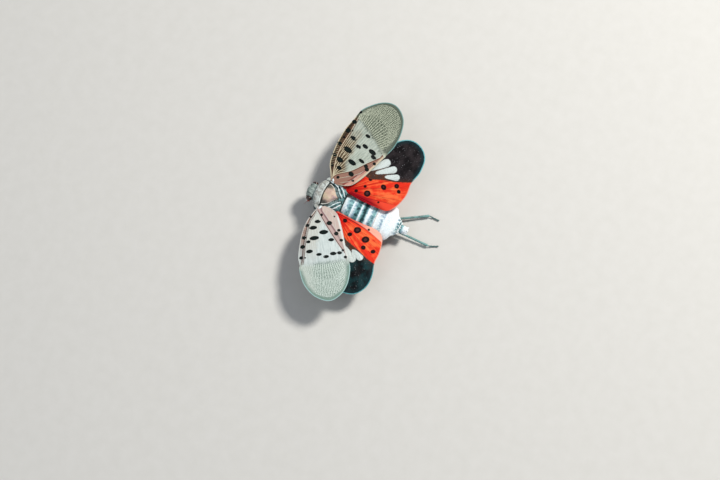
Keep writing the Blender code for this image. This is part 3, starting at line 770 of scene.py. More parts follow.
def mesonotum_look():
    """The shield between the wings: pinkish tan and satin, with pale rims and dark front corners."""
    look = Look("mesonotum", roughness=0.55, specular=0.3)
    blotch, rim, groove = look.fields("blotch", "ridge", "groove")
    cloud = look.noise(look.place(), 0.8, detail=4.0)
    grain = look.noise(look.place(), 9.0, detail=4.0)
    tint = look.noise(look.place((1.0, 0.7, 1.0)), 0.75)
    colour = look.layers(
        (196, 166, 148), (cloud.step(0.38, 0.62), (212, 188, 168)),
        (tint.step(0.52, 0.68, 0.0, 0.7), (192, 160, 166)),
        (tint.step(0.48, 0.34, 0.0, 0.7), (192, 178, 146)),
        ((tint * 1.28 + grain * 1.6 + blotch).step(1.4, 2.35), (76, 74, 68)),
        (grain.step(0.52, 0.75, 0.0, 0.6), (156, 136, 124)), (rim.step(0.3, 0.8), (222, 222, 212)),
        # Near black painted shade along the front edge
        (groove.step(0.2, 0.8), (24, 26, 24)))
    return look.finish(colour, grain, 0.02)


def leg_look():
    """Black shell under a thin blue-grey coat, part wax and part painted highlight, which the bristles and
    spines lack.
    """
    look = Look("leg", roughness=0.5, specular=0.4)
    bloom_and_highlight, = look.fields("bloom_and_highlight")
    cloud = look.noise(look.place(), 1.1, detail=4.0)
    grain = look.noise(look.place(), 6.0, detail=4.0)
    # The blue-grey coat is partly painted highlight on the shiny black shell
    bloom_and_highlight = (grain * 0.5 + cloud).step(0.5, 0.78) * bloom_and_highlight
    return look.finish(look.layers((40, 56, 56), (bloom_and_highlight, (122, 166, 162))), grain, 0.03)


def eye_look():
    """A dark brown eye, faceted and glossy."""
    look = Look("eye", roughness=0.22, specular=0.6)
    facets = look.cells(look.place(), 20.0)
    cloud = look.noise(look.place(), 2.0)
    colour = look.layers((34, 22, 20), (cloud.step(0.4, 0.65), (74, 42, 30)))
    return look.finish(colour, facets.step(0.5, 0.1), 0.012)


def antenna_look():
    """The orange-red bead of a feeler, set with pale beads."""
    look = Look("antenna", roughness=0.45, specular=0.4)
    beads = look.cells(look.place(), 9.0)
    colour = look.layers((176, 60, 26), (beads.step(0.28, 0.12), (214, 138, 96)))
    return look.finish(colour, beads.step(0.35, 0.0), 0.03)


def make_materials():
    materials = {name: cuticle_look(name, *looks) for name, looks in CUTICLE_COLOURS.items()}
    return {**materials, "mesonotum": mesonotum_look(), "wax": wax_look(), "clots": clot_look(),
            "leg": leg_look(), "eye": eye_look(), "antenna": antenna_look()}


class Wing:
    """A wing's outline and pose, and the way from a flat point of it to the body frame.

    A flat point is how far out from the root and how far behind the root line it lies. Each kind of
    wing says its outline, pose and arch in capitals.
    """

    def __init__(self, side):
        self.side = side
        self.name = f"{self.KIND}_{SIDE_NAMES[side]}"
        self.outline = curve_through(self.OUTLINE[side])
        sweep = math.radians(self.SWEEP[side])
        rise = math.radians(self.RISE[side])
        self.span = np.array((math.cos(sweep) * math.cos(rise), math.sin(sweep) * math.cos(rise),
                              math.sin(rise)))
        self.chord = np.array((-math.sin(sweep), math.cos(sweep), 0.0))
        self.up = np.cross(self.span, self.chord)

    def stretch(self, start, end):
        """The part of the outline between two of its points, counted from its start."""
        first, last = (round(place * CURVE_STEPS) for place in sorted((start, end)))
        line = self.outline[first:last + 1]
        return Path(line if start < end else line[::-1])

    def place(self, flat, height=0.0):
        """A flat point in the body frame, on the gently arched wing."""
        arch = self.ARCH * np.clip(1 - ((flat - self.MIDDLE) / self.HALF) ** 2, 0, 1).prod(axis=-1)
        point = (self.ROOT + self.span * flat[..., :1] + self.chord * flat[..., 1:]
                 + self.up * (arch + height)[..., None])
        return mirrored(point, self.side)

    def add_membrane(self, shape, flat, height=0.0, **fields):
        """The sheet itself, with an upper and a lower face."""
        over, under = (self.place(flat, height + half) for half in (MEMBRANE / 2, -MEMBRANE / 2))
        if self.side == LEFT:
            over, under = under, over
        fields = {"out": flat[..., 0], "behind": flat[..., 1], "vein": 0.0, **fields}
        shape.add_slab(over, under, fields=fields)
        self.membrane_points = len(shape.points)

    def add_tube(self, shape, flat, radii, height=0.0, sides=5, squash=1.0, **fields):
        """One vein along flat points."""
        fields = {"out": flat[:, 0], "behind": flat[:, 1], "vein": 1.0, **fields}
        shape.add_tube(self.place(flat, height), radii, sides=sides, fields=fields, squash=squash)

    def finish(self, shape, material):
        """Work out the colour fields and the flat map, whose halves are the two faces, and make the piece."""
        flat = np.stack((shape.fields["out"], shape.fields["behind"]), axis=-1)
        shape.fields.update(self.fields(flat))
        low = flat.min(axis=0)
        size = (flat.max(axis=0) - low).max() * MAP_MARGIN
        bake = (flat - low) / size + 0.005
        bake[self.membrane_points // 2:self.membrane_points, 1] += 0.5
        bake[:, 1] = np.minimum(bake[:, 1], 0.999)
        shape.to_piece(f"{self.name}_sheet", [material], [self.name], self.KIND, bake)


def spot_field(flat, spots, power):
    """How far each point is outside the nearest spot, in millimetres: below 0 inside one."""
    nearest = np.full(flat.shape[:-1], 1.0)
    for out, behind, half_length, half_width in spots:
        across = np.abs(flat[..., 1] - behind) / half_length
        along = np.abs(flat[..., 0] - out) / half_width
        nearest = np.minimum(nearest, ((across ** power + along ** power) ** (1 / power) - 1) * half_width)
    return nearest


def behind_line(flat, line, **beyond):
    """How far each flat point lies behind a line that runs out along the wing."""
    return flat[..., 1] - np.interp(flat[..., 0], line[:, 0], line[:, 1], **beyond)


class Forewing(Wing):
    """A forewing: a stiff sheet with long veins, whose outer third is a fine net."""

    KIND = "forewing"
    OUTLINE = FOREWING_OUTLINE
    ROOT = FOREWING_ROOT
    SWEEP = FOREWING_SWEEP
    RISE = FOREWING_RISE
    ARCH = 0.45
    MIDDLE = (10.0, -0.5)
    HALF = (10.6, 5.6)
    ROWS_INNER = 84
    ROWS_OUTER = 60
    COLUMNS = 76
    LONG_VEINS = 16
    # The net's rays and rows of rungs, how far along it the rays end and their forks start
    RAYS = 24
    NET_ROWS = 19
    NET_END = 0.9
    NET_FORK = 0.42
    # The share of the net's start that lies in front of the costal vein
    LEAD = 0.07
    CROSS_RADIUS = 0.028
    RUNG_RADIUS = 0.032
    SEED = 17

    def __init__(self, side):
        super().__init__(side)
        last = len(self.OUTLINE[side]) - 1
        self.costa = self.stretch(0, NET_COSTAL_PLACE[side])
        self.hind = self.stretch(last, NET_HIND_PLACE[side])
        self.margin = self.stretch(NET_COSTAL_PLACE[side], NET_HIND_PLACE[side])
        self.suture_line, self.costal_line, self.claval_line = (
            curve_through(lines[side], steps=6) for lines in (SUTURE, COSTAL_VEIN, CLAVAL_LINE))
        before_net = self.costal_line[self.costal_line[:, 0] < self.costa.at(1.0)[0] - 0.9]
        self.veins_front = Path(np.concatenate((before_net, [self.net_line(self.LEAD)])))
        self.veins_rear = Path(np.concatenate((self.suture_line, [self.hind.at(1.0)])))

    def bulge(self, across):
        """How far the start of the net bows outward."""
        return NET_BULGE * 4 * across * (1 - across)

    def net_line(self, across):
        """The line where the net starts, from the front edge to the hind edge."""
        across = np.asarray(across, float)
        line = self.costa.at(1.0) + (self.hind.at(1.0) - self.costa.at(1.0)) * across[..., None]
        line[..., 0] += self.bulge(across)
        return line

    def sheet(self, along, across):
        """A point of the stiff part, between the front edge and the hind edge."""
        front = self.costa.at(along)
        flat = front + (self.hind.at(along) - front) * across[..., None]
        flat[..., 0] += self.bulge(across) * along ** 2
        return flat

    def between_veins(self, along, share):
        """A point of the stiff part, between the costal vein and the suture."""
        share = np.asarray(share, float)
        front = self.veins_front.at(along)
        flat = front + (self.veins_rear.at(along) - front) * share[..., None]
        ends = self.veins_front.at(1.0)[0] + (self.hind.at(1.0)[0] - self.veins_front.at(1.0)[0]) * share
        at_net = self.net_line(self.LEAD + (1 - self.LEAD) * share)[..., 0]
        flat[..., 0] += (at_net - ends) * np.asarray(along) ** 2
        return flat

    def net(self, along, across):
        """A point between the start of the net and the outer margin."""
        start = self.net_line(across)
        return start + (self.margin.at(across) - start) * np.asarray(along, float)[..., None]

    def strayed_net(self, along, across):
        """The same, straying sideways as the threads of the net do."""
        flat = self.net(along, across)
        stray = [noise_over(flat[..., 0], flat[..., 1], 1.9, seed) for seed in (0.0, 7.3)]
        return flat + np.stack(stray, axis=-1) * (0.16 * smooth_step(along, 0.0, 0.35))[..., None]

    def fields(self, flat):
        """What the colours follow, worked out at each flat point."""
        start = self.costa.at(1.0)
        across = np.clip((flat[..., 1] - start[1]) / (self.hind.at(1.0)[1] - start[1]), 0, 1)
        return {
            "spot": spot_field(flat, FOREWING_SPOTS[self.side], FOREWING_SPOT_POWER[self.side]),
            "net": np.clip(flat[..., 0] - self.net_line(across)[..., 0], -3, 6),
            "front": np.clip(behind_line(flat, self.costal_line, right=-9.0) * 0.93, -3, 5),
            "suture": np.clip(behind_line(flat, self.suture_line) * 0.9, -3, 3),
            "claval": np.clip(behind_line(flat, self.claval_line) * 0.92, -3, 3),
            "edge": np.minimum(distance_to_line(flat, self.outline[::4]), 2.0),
        }

    def add_vein(self, shape, flat, radius, end_radius=None, sides=5):
        """A vein that tapers, and rises gently out of the sheet where it is long."""
        share = np.linspace(0, 1, len(flat))
        radii = radius + ((end_radius or radius) - radius) * share
        if len(flat) > LONG_LINE:
            radii = radii * (0.25 + 0.75 * smooth_step(share, 0.0, 0.08))
        self.add_tube(shape, flat, radii, sides=sides, squash=0.9)

    def add_long_veins(self, shape):
        """The veins that run out from the root and fork twice on their way to the net."""
        known = set()
        for start, count, radius in ((0.02, self.LONG_VEINS // 4, 0.08), (0.18, self.LONG_VEINS // 2, 0.06),
                                     (0.4, self.LONG_VEINS, 0.05)):
            for share in (k / count for k in range(1, count)):
                if share in known:
                    continue
                known.add(share)
                parent = share - 1 / count if start > 0.1 else share
                along = np.linspace(start, 1.0, 22)
                veer = parent + (share - parent) * smooth_step(along, start, start + 0.1)
                stout = STOUT_FRONT[self.side] if share < FRONT_SHARE else 1.0
                self.add_vein(shape, self.between_veins(along, veer), radius * stout, radius * stout * 0.72)

    def add_net(self, shape, draw):
        """The net: wavering rays to the rim, twice as many in its outer part, and staggered rungs."""
        cells = self.RAYS * 2
        across = self.LEAD + (1 - self.LEAD) * np.linspace(0, 1, cells + 1)
        for k, place in enumerate(across[:-1]):
            start, points, radius = (self.NET_FORK, 30, 0.055) if k % 2 else (0.0, 44, 0.08)
            along = np.linspace(start, self.NET_END, points)
            self.add_vein(shape, self.strayed_net(along, np.full(points, place)), radius, 0.05, sides=4)
        for row in range(self.NET_ROWS):
            stride = 2 if row / self.NET_ROWS < self.NET_FORK else 1
            for k in range(0, cells, stride):
                stagger = 0.5 if (k // stride) % 2 else 0.0
                along = (row + stagger + draw.uniform(-0.25, 0.25) + 0.3) / self.NET_ROWS * self.NET_END
                if along > self.NET_END:
                    continue
                ends = np.linspace(across[k], across[k + stride], 3)
                self.add_vein(shape, self.strayed_net(np.full(3, along), ends), self.RUNG_RADIUS, sides=4)
        rim = self.strayed_net(np.full(90, self.NET_END), np.linspace(0.02, 1, 90))
        self.add_vein(shape, rim, 0.04, sides=4)

    def add_cross_veins(self, shape, draw):
        """Sparse cross-veins in the stiff part and in the strip along its front edge."""
        for k in range(self.LONG_VEINS):
            along = 0.55 + draw.uniform(0, 0.16)
            while along < 0.98:
                ends = np.array((k, k + 1)) / self.LONG_VEINS
                self.add_vein(shape, self.between_veins(np.full(2, along), ends), self.CROSS_RADIUS, sides=4)
                along += draw.uniform(0.07, 0.16)
        costal = Path(self.costal_line)
        for along in np.arange(0.2, 0.97, 0.035):
            ends = np.stack((costal.at(along), self.costa.at(min(1.0, along + 0.02))))
            self.add_vein(shape, ends, 0.026, sides=4)

    def add_rear_strip_veins(self, shape):
        """The suture and the two veins of the strip behind it, which meet in a Y."""
        along = np.linspace(0, 1, 24)
        suture = Path(self.suture_line).at(along)
        self.add_vein(shape, suture, 0.1, 0.06, sides=6)
        hind = self.hind.at(0.06 + along * 0.8)
        for share in (0.36, 0.72):
            across = share + (0.54 - share) * smooth_step(along, 0.25, 0.6)
            self.add_vein(shape, (suture + (hind - suture) * across[:, None])[1:], 0.06, 0.045)

    def add_edge(self, shape):
        """The stout front edge and costal vein, and the fine rim round the rest."""
        self.add_vein(shape, self.costa.at(np.linspace(0, 1, 44)), 0.11, 0.07, sides=6)
        self.add_vein(shape, self.costal_line, 0.11, 0.05, sides=6)
        self.add_vein(shape, self.margin.at(np.linspace(0, 1, 100)), 0.045, 0.04)
        self.add_vein(shape, self.hind.at(np.linspace(0, 1, 50)), 0.06, 0.045)

    def build(self):
        shape = Shape()
        across = np.linspace(0, 1, self.COLUMNS)
        rows = [part(np.full(self.COLUMNS, along), across)
                for part, places in ((self.sheet, np.linspace(0, 1, self.ROWS_INNER)),
                                     (self.net, np.linspace(0, 1, self.ROWS_OUTER)[1:]))
                for along in places]
        self.add_membrane(shape, np.array(rows))
        draw = random.Random(self.SEED)
        self.add_long_veins(shape)
        self.add_cross_veins(shape, draw)
        self.add_net(shape, draw)
        self.add_rear_strip_veins(shape)
        self.add_edge(shape)
        self.finish(shape, forewing_look(self.side))


class Hindwing(Wing):
    """A hindwing: a thin fan of pleats."""

    KIND = "hindwing"
    OUTLINE = HINDWING_OUTLINE
    ROOT = HINDWING_ROOT
    SWEEP = HINDWING_SWEEP
    RISE = HINDWING_RISE
    ARCH = 0.2
    MIDDLE = (9.0, 2.0)
    HALF = (10.5, 7.5)
    ROWS = 100
    COLUMNS = 150
    PLEATS = 13
    FAN_ROOT = np.array((0.15, -0.05))
    MAIN_RAYS = (0.06, 0.14, 0.22, 0.3, 0.37, 0.44, 0.51, 0.58, 0.65, 0.72, 0.8, 0.88, 0.95)
    # How far each vein's forks veer, and where along it they start
    FORKS = ((-1, 0.5), (1, 0.62), (-0.45, 0.78))
    # The black tip's cross-veins: the ray they start at, how many steps across the rays, and rows of them
    CROSS_START = 0.2
    CROSS_STEPS = 22
    CROSS_PITCH = 0.0165
    CROSS_ROWS = 4
    CROSS_RADIUS = 0.026
    SEED = 23

    def __init__(self, side):
        super().__init__(side)
        self.rim = Path(self.outline)
        self.fold = curve_through(FOLD_LINE[side], steps=6)
        self.border = curve_through(RED_BORDER[side], steps=6)

    def fan(self, reach, ray):
        """A point between the wing's root and its rim."""
        return self.FAN_ROOT + (self.rim.at(ray) - self.FAN_ROOT) * reach[..., None]

    def pleat(self, reach, ray):
        height = 0.07 * smooth_step(reach, 0.1, 0.5) * (1 - 0.3 * reach)
        return height * np.sin(ray * math.pi * 2 * self.PLEATS)

    def fields(self, flat):
        """What the colours follow, worked out at each flat point."""
        white = np.full(flat.shape[:-1], 1.0)
        for start, end, half in WHITE_PATCHES[self.side]:
            white = np.minimum(white, teardrop_field(flat, np.array(start), np.array(end), half))
        return {
            "spot": spot_field(flat, HINDWING_SPOTS[self.side], HINDWING_SPOT_POWER),
            "white": white,
            "red": np.clip(behind_line(flat, self.border) * 0.75, -2, 2),
            "lobe": np.clip(behind_line(flat, self.fold) * 0.7, -2, 2),
            "fold": np.minimum(distance_to_line(flat, self.fold), 2.0),
            "edge": np.minimum(distance_to_line(flat, self.outline[::4]), 2.0),
        }

    def add_vein(self, shape, reach, ray, radius, end_radius, sides=5):
        flat = self.fan(reach, ray)
        radii = np.linspace(radius, end_radius, len(reach))
        self.add_tube(shape, flat, radii, self.pleat(reach, ray), sides, reach=reach, ray=ray)

    def add_veins(self, shape):
        """Veins that fan out and fork towards the rim, and a fine rim."""
        for ray in self.MAIN_RAYS:
            self.add_vein(shape, np.linspace(0.04, 1.0, 34), np.full(34, ray), 0.065, 0.035)
            for veer, start in self.FORKS:
                fork = np.linspace(start, 1.0, 16)
                bent = ray + veer * 0.028 * smooth_step(fork, start, start + 0.25)
                self.add_vein(shape, fork, bent, 0.04, 0.028, sides=4)
        self.add_vein(shape, np.ones(170), np.linspace(0, 1, 170), 0.045, 0.035)

    def add_cross_veins(self, shape, draw):
        """Fine cross-veins in the black tip."""
        for ray in self.CROSS_START + np.arange(self.CROSS_STEPS) * self.CROSS_PITCH:
            for _ in range(self.CROSS_ROWS):
                reach = np.full(3, draw.uniform(0.66, 0.97))
                self.add_vein(shape, reach, np.linspace(ray, ray + self.CROSS_PITCH, 3), self.CROSS_RADIUS,
                              self.CROSS_RADIUS, sides=4)

    def build(self):
        shape = Shape()
        reach, ray = np.meshgrid(np.linspace(0.02, 1, self.ROWS), np.linspace(0, 1, self.COLUMNS),
                                 indexing="ij")
        self.add_membrane(shape, self.fan(reach, ray), self.pleat(reach, ray), reach=reach, ray=ray)
        self.add_veins(shape)
        self.add_cross_veins(shape, random.Random(self.SEED))
        self.finish(shape, hindwing_look(self.side))


def teardrop_field(flat, start, end, half):
    """How far each point is outside a drop that widens from start to a round end."""
    run = end - start
    share = np.clip(((flat - start) @ run) / (run @ run), 0, 1)
    away = flat - start - share[..., None] * run
    return np.linalg.norm(away, axis=-1) - half * (0.3 + 0.7 * np.sqrt(share))


def superellipse(angles, upper, lower):
    """Points of a unit cross-section, squarer above or below as the exponents say."""
    power = np.where(np.sin(angles) > 0, 2.0 / upper, 2.0 / lower)
    return [np.sign(wave) * np.abs(wave) ** power for wave in (np.cos(angles), np.sin(angles))]


def body_grid(stations, sizes, upper, lower, count):
    """Rings along Y whose half width, underside and top follow a smooth table of sizes, and their angles."""
    line = curve_through(sizes)
    order = np.argsort(line[:, 0])
    half_width, under, top = (np.interp(stations, line[order, 0], line[order, k])[:, None] for k in (1, 2, 3))
    angles = 2 * math.pi * (np.arange(count) + 0.5) / count
    x, z = superellipse(angles, upper, lower)
    z = (under + top) / 2 + (top - under) / 2 * z
    grid = np.stack((half_width * x, stations[:, None] + 0 * x, z), axis=-1)
    return grid, angles


def folded(points):
    """Points of the right side laid over the left side."""
    return np.concatenate((np.abs(points[..., :1]), points[..., 1:]), axis=-1)


def head_depth(points):
    """How far each point is outside the head's lumps, in millimetres: below 0 inside."""
    points = folded(points)
    depth = None
    for centre, radii, power, softness in HEAD_LUMPS:
        away = np.abs(points - centre) / radii
        lump = ((away ** power).sum(axis=-1) ** (1 / power) - 1) * min(radii)
        depth = lump if depth is None else soft_least(depth, lump, softness)
    return depth


def soft_least(first, second, softness):
    """The lesser of two distances, rounded where they meet."""
    share = np.clip(0.5 + 0.5 * (second - first) / softness, 0, 1)
    return second + (first - second) * share - softness * share * (1 - share)


def on_head(points):
    """Where the rays from the head's middle to some points leave its lumps, and the rays' directions."""
    run = unit(np.asarray(points, float) - HEAD_CENTRE)
    low = np.full(run.shape[:-1], 0.1)
    high = np.full(run.shape[:-1], 4.0)
    for _ in range(HALVINGS):
        middle = (low + high) / 2
        inside = head_depth(HEAD_CENTRE + run * middle[..., None]) < 0
        low = np.where(inside, middle, low)
        high = np.where(inside, high, middle)
    return HEAD_CENTRE + run * low[..., None], run


def head_line(points):
    """A smooth line over the head's lumps, near some points."""
    return on_head(curve_through(points, steps=8))[0]


def eye_ring():
    """The line round an eye where its socket ends."""
    angles = np.linspace(0, 2 * math.pi, 40)
    x, y, z = EYE_CENTRE
    return np.stack((x - 0.36 + 0 * angles, y + (EYE_RADII[1] + 0.06) * np.cos(angles),
                     z + (EYE_RADII[2] + 0.06) * np.sin(angles)), axis=-1)


def build_head(materials):
    """The head: skull, face, cheeks and sockets in one skin, with keels, a hollow crown and a seam."""
    poles = np.linspace(-1.56, 1.56, 132)[:, None]
    around = np.linspace(0, 2 * math.pi, 250, endpoint=False)[None, :]
    ball = np.stack((np.sin(poles) + 0 * around, np.cos(poles) * np.cos(around),
                     np.cos(poles) * np.sin(around)), axis=-1)
    skin, out = on_head(HEAD_CENTRE + ball)
    half = folded(skin)
    keels = np.zeros(half.shape[:-1])
    nearest = np.full(half.shape[:-1], 1.0)
    height = np.zeros(half.shape[:-1])
    for points, width, size in HEAD_KEELS + ((eye_ring(), 0.065, 0.09),):
        away = distance_to_line(half, head_line(points))
        keels = np.maximum(keels, ridge(away, 0, width))
        height = np.maximum(height, size * ridge(away, 0, width * 1.25))
        nearest = np.minimum(nearest, away)
    seam = ridge(distance_to_line(half, head_line(HEAD_SEAM)), 0, 0.035)
    upper = smooth_step(half[..., 2], 4.65, 4.95)
    crown = upper * smooth_step(nearest, 0.04, 0.4)
    keels *= (1 - 0.45 * upper) * (0.42 + 0.5 * noise_at(skin * 1.7))
    height *= (1 - 0.3 * upper) * smooth_step(half[..., 2], 1.5, 2.4)
    height += 0.03 * noise_at(skin * 2.6) + 0.014 * noise_at(skin * 8.0) - 0.07 * crown - 0.05 * seam
    # The groove field is painted shade: darkest in the seam, patchy in the hollow crown
    groove = 0.9 * seam + crown * (0.08 + 0.6 * noise_at(skin * 2.4))
    shape = Shape()
    shape.add_loft((skin + out * height[..., None])[:, ::-1], fields={
        "ridge": np.clip(keels, 0, 1)[:, ::-1], "groove": np.clip(groove, 0, 1)[:, ::-1]})
    for side in SIDE_NAMES:
        shape.add_ball(mirrored(OCELLUS_CENTRE, side), (0.09, 0.1, 0.1), rows=10, columns=14, finish=1)
    shape.to_piece("head_shell", [materials["head"], materials["eye"]], ["head"], "cuticle")


def build_eyes(materials):
    for side, side_name in SIDE_NAMES.items():
        shape = Shape()
        shape.add_ball(mirrored(EYE_CENTRE, side), EYE_RADII, -side * 14, rows=28, columns=40)
        shape.to_piece(f"eye_{side_name}_ball", [materials["eye"]], [f"eye_{side_name}"], "eye")


def build_antennae(materials):
    """Both feelers, each a short stalk, a bead and a long fine bristle."""
    for side, side_name in SIDE_NAMES.items():
        shape = Shape()
        for path, radii, sides in FEELER_PARTS:
            shape.add_tube(mirrored(path, side), radii, sides=sides)
        name = f"antenna_{side_name}"
        shape.to_piece(f"{name}_bead", [materials["antenna"]], [name], "antenna")


def build_rostrum(materials):
    """The beak: a jointed sheath that lies back between the legs."""
    shape = Shape()
    path = curve_through(ROSTRUM_PATH, steps=8)
    share = np.linspace(0, 1, len(path))
    rings = ridge(share, 0.42, 0.02) + ridge(share, 0.98, 0.03)
    radii = 0.36 - 0.2 * smooth_step(share, 0, 0.45) + 0.03 * rings
    shape.add_tube(path, radii, sides=16, fields={"bloom_and_highlight": 0.2})
    shape.to_piece("rostrum_sheath", [materials["leg"]], ["rostrum"], "leg")


def plate_shape(front, back, half_width, top, floor, columns=90, rows=50):
    """A back plate between a front and a back line, domed as top says, down to a flat floor."""
    across, along = np.meshgrid(np.linspace(-1, 1, columns), np.linspace(0, 1, rows), indexing="xy")
    y = front(across) + (back(across) - front(across)) * along
    x = across * half_width(y)
    z, fields = top(across, along, x, y)
    shape = Shape()
    shape.add_slab(*(np.stack((x, y, level), axis=-1) for level in (z, 0 * z + floor)), fields=fields)
    return shape


def build_pronotum(materials):
    """The collar: wide, pitted, with round side lobes, a keel along its middle and a bowed hind edge."""

    def front(across):
        return -3.25 + 1.3 * np.abs(across) ** 3

    def back(across):
        a = np.abs(across)
        return -1.52 + 0.3 * a ** 1.5 - 0.72 * (np.clip(a - 0.8, 0, 1) / 0.2) ** 2

    def top(across, along, x, y):
        a = np.abs(across)
        dome = np.clip(1 - a ** 3.2, 0, 1)
        edge = np.minimum(np.clip(along * 3.2, 0, 1), np.clip((1 - along) * 9, 0, 1)) ** 0.5
        keel = ridge(across, 0, 0.025) + 0.6 * ridge(a, 0.26 + 0.1 * along, 0.03)
        lip = ridge(along, 0.88, 0.05) + 0.6 * ridge(along, 0.06, 0.05)
        dimple = ridge(a, 0.14, 0.05) * ridge(along, 0.45, 0.12)
        z = COLLAR_TOP + 0.62 * dome * (0.1 + 0.9 * edge) + 0.06 * keel * dome + 0.05 * lip - 0.06 * dimple
        z += 0.03 * noise_over(x, y, 2.4) + 0.015 * noise_over(x, y, 7.0)
        # The groove field paints shade along the hind edge, where the collar meets the shield
        return z, {"ridge": np.clip(0.8 * keel + lip, 0, 1), "groove": smooth_step(along, 0.94, 0.99)}

    shape = plate_shape(front, back, lambda y: COLLAR_HALF_WIDTH, top, COLLAR_FLOOR)
    shape.to_piece("pronotum_plate", [materials["pronotum"]], ["pronotum"], "pronotum")


def build_mesonotum(materials):
    """The shield: rounded, with raised pale rims, three faint keels and a pointed end."""
    outline = curve_through(SHIELD_WIDTHS, steps=8)

    def top(across, along, x, y):
        a = np.abs(across)
        dome = np.clip(1 - a ** 2.6, 0, 1)
        rim = ridge(a, 0.96, 0.042)
        keel = ridge(across, 0, 0.025) * smooth_step(along, 0.1, 0.3) + 0.6 * ridge(a, 0.5, 0.035)
        blotch = smooth_step(a + 0.3 * noise_over(x, y, 1.0), 0.22, 0.85) * smooth_step(along, 0.68, 0.05)
        # The groove field paints shade along the front edge, below the collar
        groove = 1 - smooth_step(along, 0.0, 0.035)
        z = 5.34 + 0.78 * dome * (0.7 + 0.3 * np.sin(math.pi * np.clip(along * 0.9 + 0.15, 0, 1)))
        z += 0.09 * rim + 0.03 * keel * dome + 0.02 * noise_over(x, y, 3.0)
        z -= 0.3 * (1 - smooth_step(along, 0.0, 0.05))
        return z, {"ridge": rim, "blotch": np.clip(1.4 * blotch, 0, 1), "groove": groove}

    shape = plate_shape(lambda a: -1.44 + 0.3 * np.abs(a) ** 1.6, lambda a: 1.5 - 0.04 * np.abs(a),
                        lambda y: np.interp(y, outline[:, 0], outline[:, 1]), top, SHIELD_FLOOR)
    shape.to_piece("mesonotum_shield", [materials["mesonotum"]], ["mesonotum"], "mesonotum")


def build_metanotum(materials):
    """The flanks of the shield: a groove along it, blackened with painted shade, two white ridges a side and
    teal hollows with painted shade in them.
    """
    across, y = np.meshgrid(np.linspace(-1, 1, 170), np.linspace(-1.1, 2.95, 100), indexing="xy")
    x = across * np.interp(y, *zip(*FLANK_WIDTHS))
    flat = np.stack((np.abs(x), y), axis=-1)
    stray = 0.1 * noise_over(x, y, 1.7, 4.0)
    inner, outer = (distance_to_line(flat, curve_through(points, steps=8)) + stray for points in FLANK_RIDGES)
    troughs = ridge(inner, 0.34, 0.14) + ridge(outer, 0.31, 0.12)
    shield_edge = curve_through([(width, place) for place, width in SHIELD_WIDTHS], steps=8)
    shield = distance_to_line(flat, shield_edge)
    # The groove field is painted shade: along the shield's edge, in the hollows between the ridges and in the
    # gap before the abdomen
    groove = np.maximum(ridge(shield, 0.22, 0.22) * (y < 1.8),
                        0.9 * troughs * smooth_step(stray, -0.05, 0.02))
    gap = smooth_step(y, 2.72, 2.9)
    lobe = sum(height * np.exp(-((flat[..., 0] - lobe_x) / half_x) ** 2 - ((y - lobe_y) / half_y) ** 2)
               for height, lobe_x, lobe_y, half_x, half_y in FLANK_LOBES)
    broken = 0.95 + 0.6 * noise_over(x, y, 1.3, 9.0)
    white = np.clip((ridge(inner, 0, 0.15) + ridge(outer, 0, 0.17)) * broken * (shield > 0.2), 0, 1)
    rough = noise_over(x, y, 2.2)
    z = 5.1 + 0.26 * white + 0.26 * np.clip(lobe, 0, 1) - 0.14 * groove + 0.05 * rough
    z += 0.02 * noise_over(x, y, 7.0) - 0.25 * smooth_step(np.abs(across), 0.86, 1.0) - 0.25 * gap
    shape = Shape()
    shape.add_slab(*(np.stack((x, y, level), axis=-1) for level in (z, 0 * z + FLANK_FLOOR)), fields={
        "ridge": np.clip(white + 0.25 * lobe * rough, 0, 1), "groove": np.clip(groove + gap, 0, 1)})
    for side in SIDE_NAMES:
        for centre, radii, turn in FLANK_CLOTS:
            shape.add_ball(mirrored(centre, side), radii, side * turn, rows=14, columns=20, rough=0.12,
                           seed=centre[1], fields={"ridge": 0.75})
    shape.to_piece("metanotum_flanks", [materials["flank"]], ["metanotum"], "wax")


def build_thorax(materials):
    """The block of the thorax: three sections parted by grooves, swollen above each leg."""
    stations = np.linspace(-3.05, 2.9, 70)
    grid, angles = body_grid(stations, THORAX_SIZE, 4.5, 2.4, 84)
    y = stations[:, None]
    turn = angles[None, :] % math.pi
    seams = ridge(y, -1.55, 0.07) + ridge(y, 1.15, 0.07)
    side_lines = 0.5 * (ridge(turn, 0.6, 0.05) + ridge(turn, 2.54, 0.05))
    hips = ridge(y, -2.2, 0.5) + ridge(y, 0.1, 0.6) + ridge(y, 2.2, 0.45)
    swell = hips * ridge(np.abs(np.cos(angles)), 0.62, 0.25) * np.clip(-np.sin(angles), 0, 1)
    push = 0.1 * swell - 0.1 * seams - 0.06 * side_lines + 0.03 * noise_at(grid * 1.6)
    outward = unit((grid - (0.0, 0.0, 3.05)) * (1.0, 0.0, 1.0))
    grid = grid + outward * push[..., None]
    middle = grid.mean(axis=1, keepdims=True)
    ends = np.minimum(smooth_step(stations, -3.45, -2.5), smooth_step(stations, 3.2, 2.5))
    grid = middle + (grid - middle) * (0.45 + 0.55 * ends)[:, None, None]
    shape = Shape()
    # The groove field paints shade into the grooves between the sections and along the sides
    shape.add_loft(grid, fields={"groove": np.clip(seams + side_lines, 0, 1), "ridge": 0.0})
    for side in SIDE_NAMES:
        add_collar_lobe(shape, side)
    shape.to_piece("thorax_block", [materials["thorax"], materials["pronotum"]], ["thorax"], "cuticle")


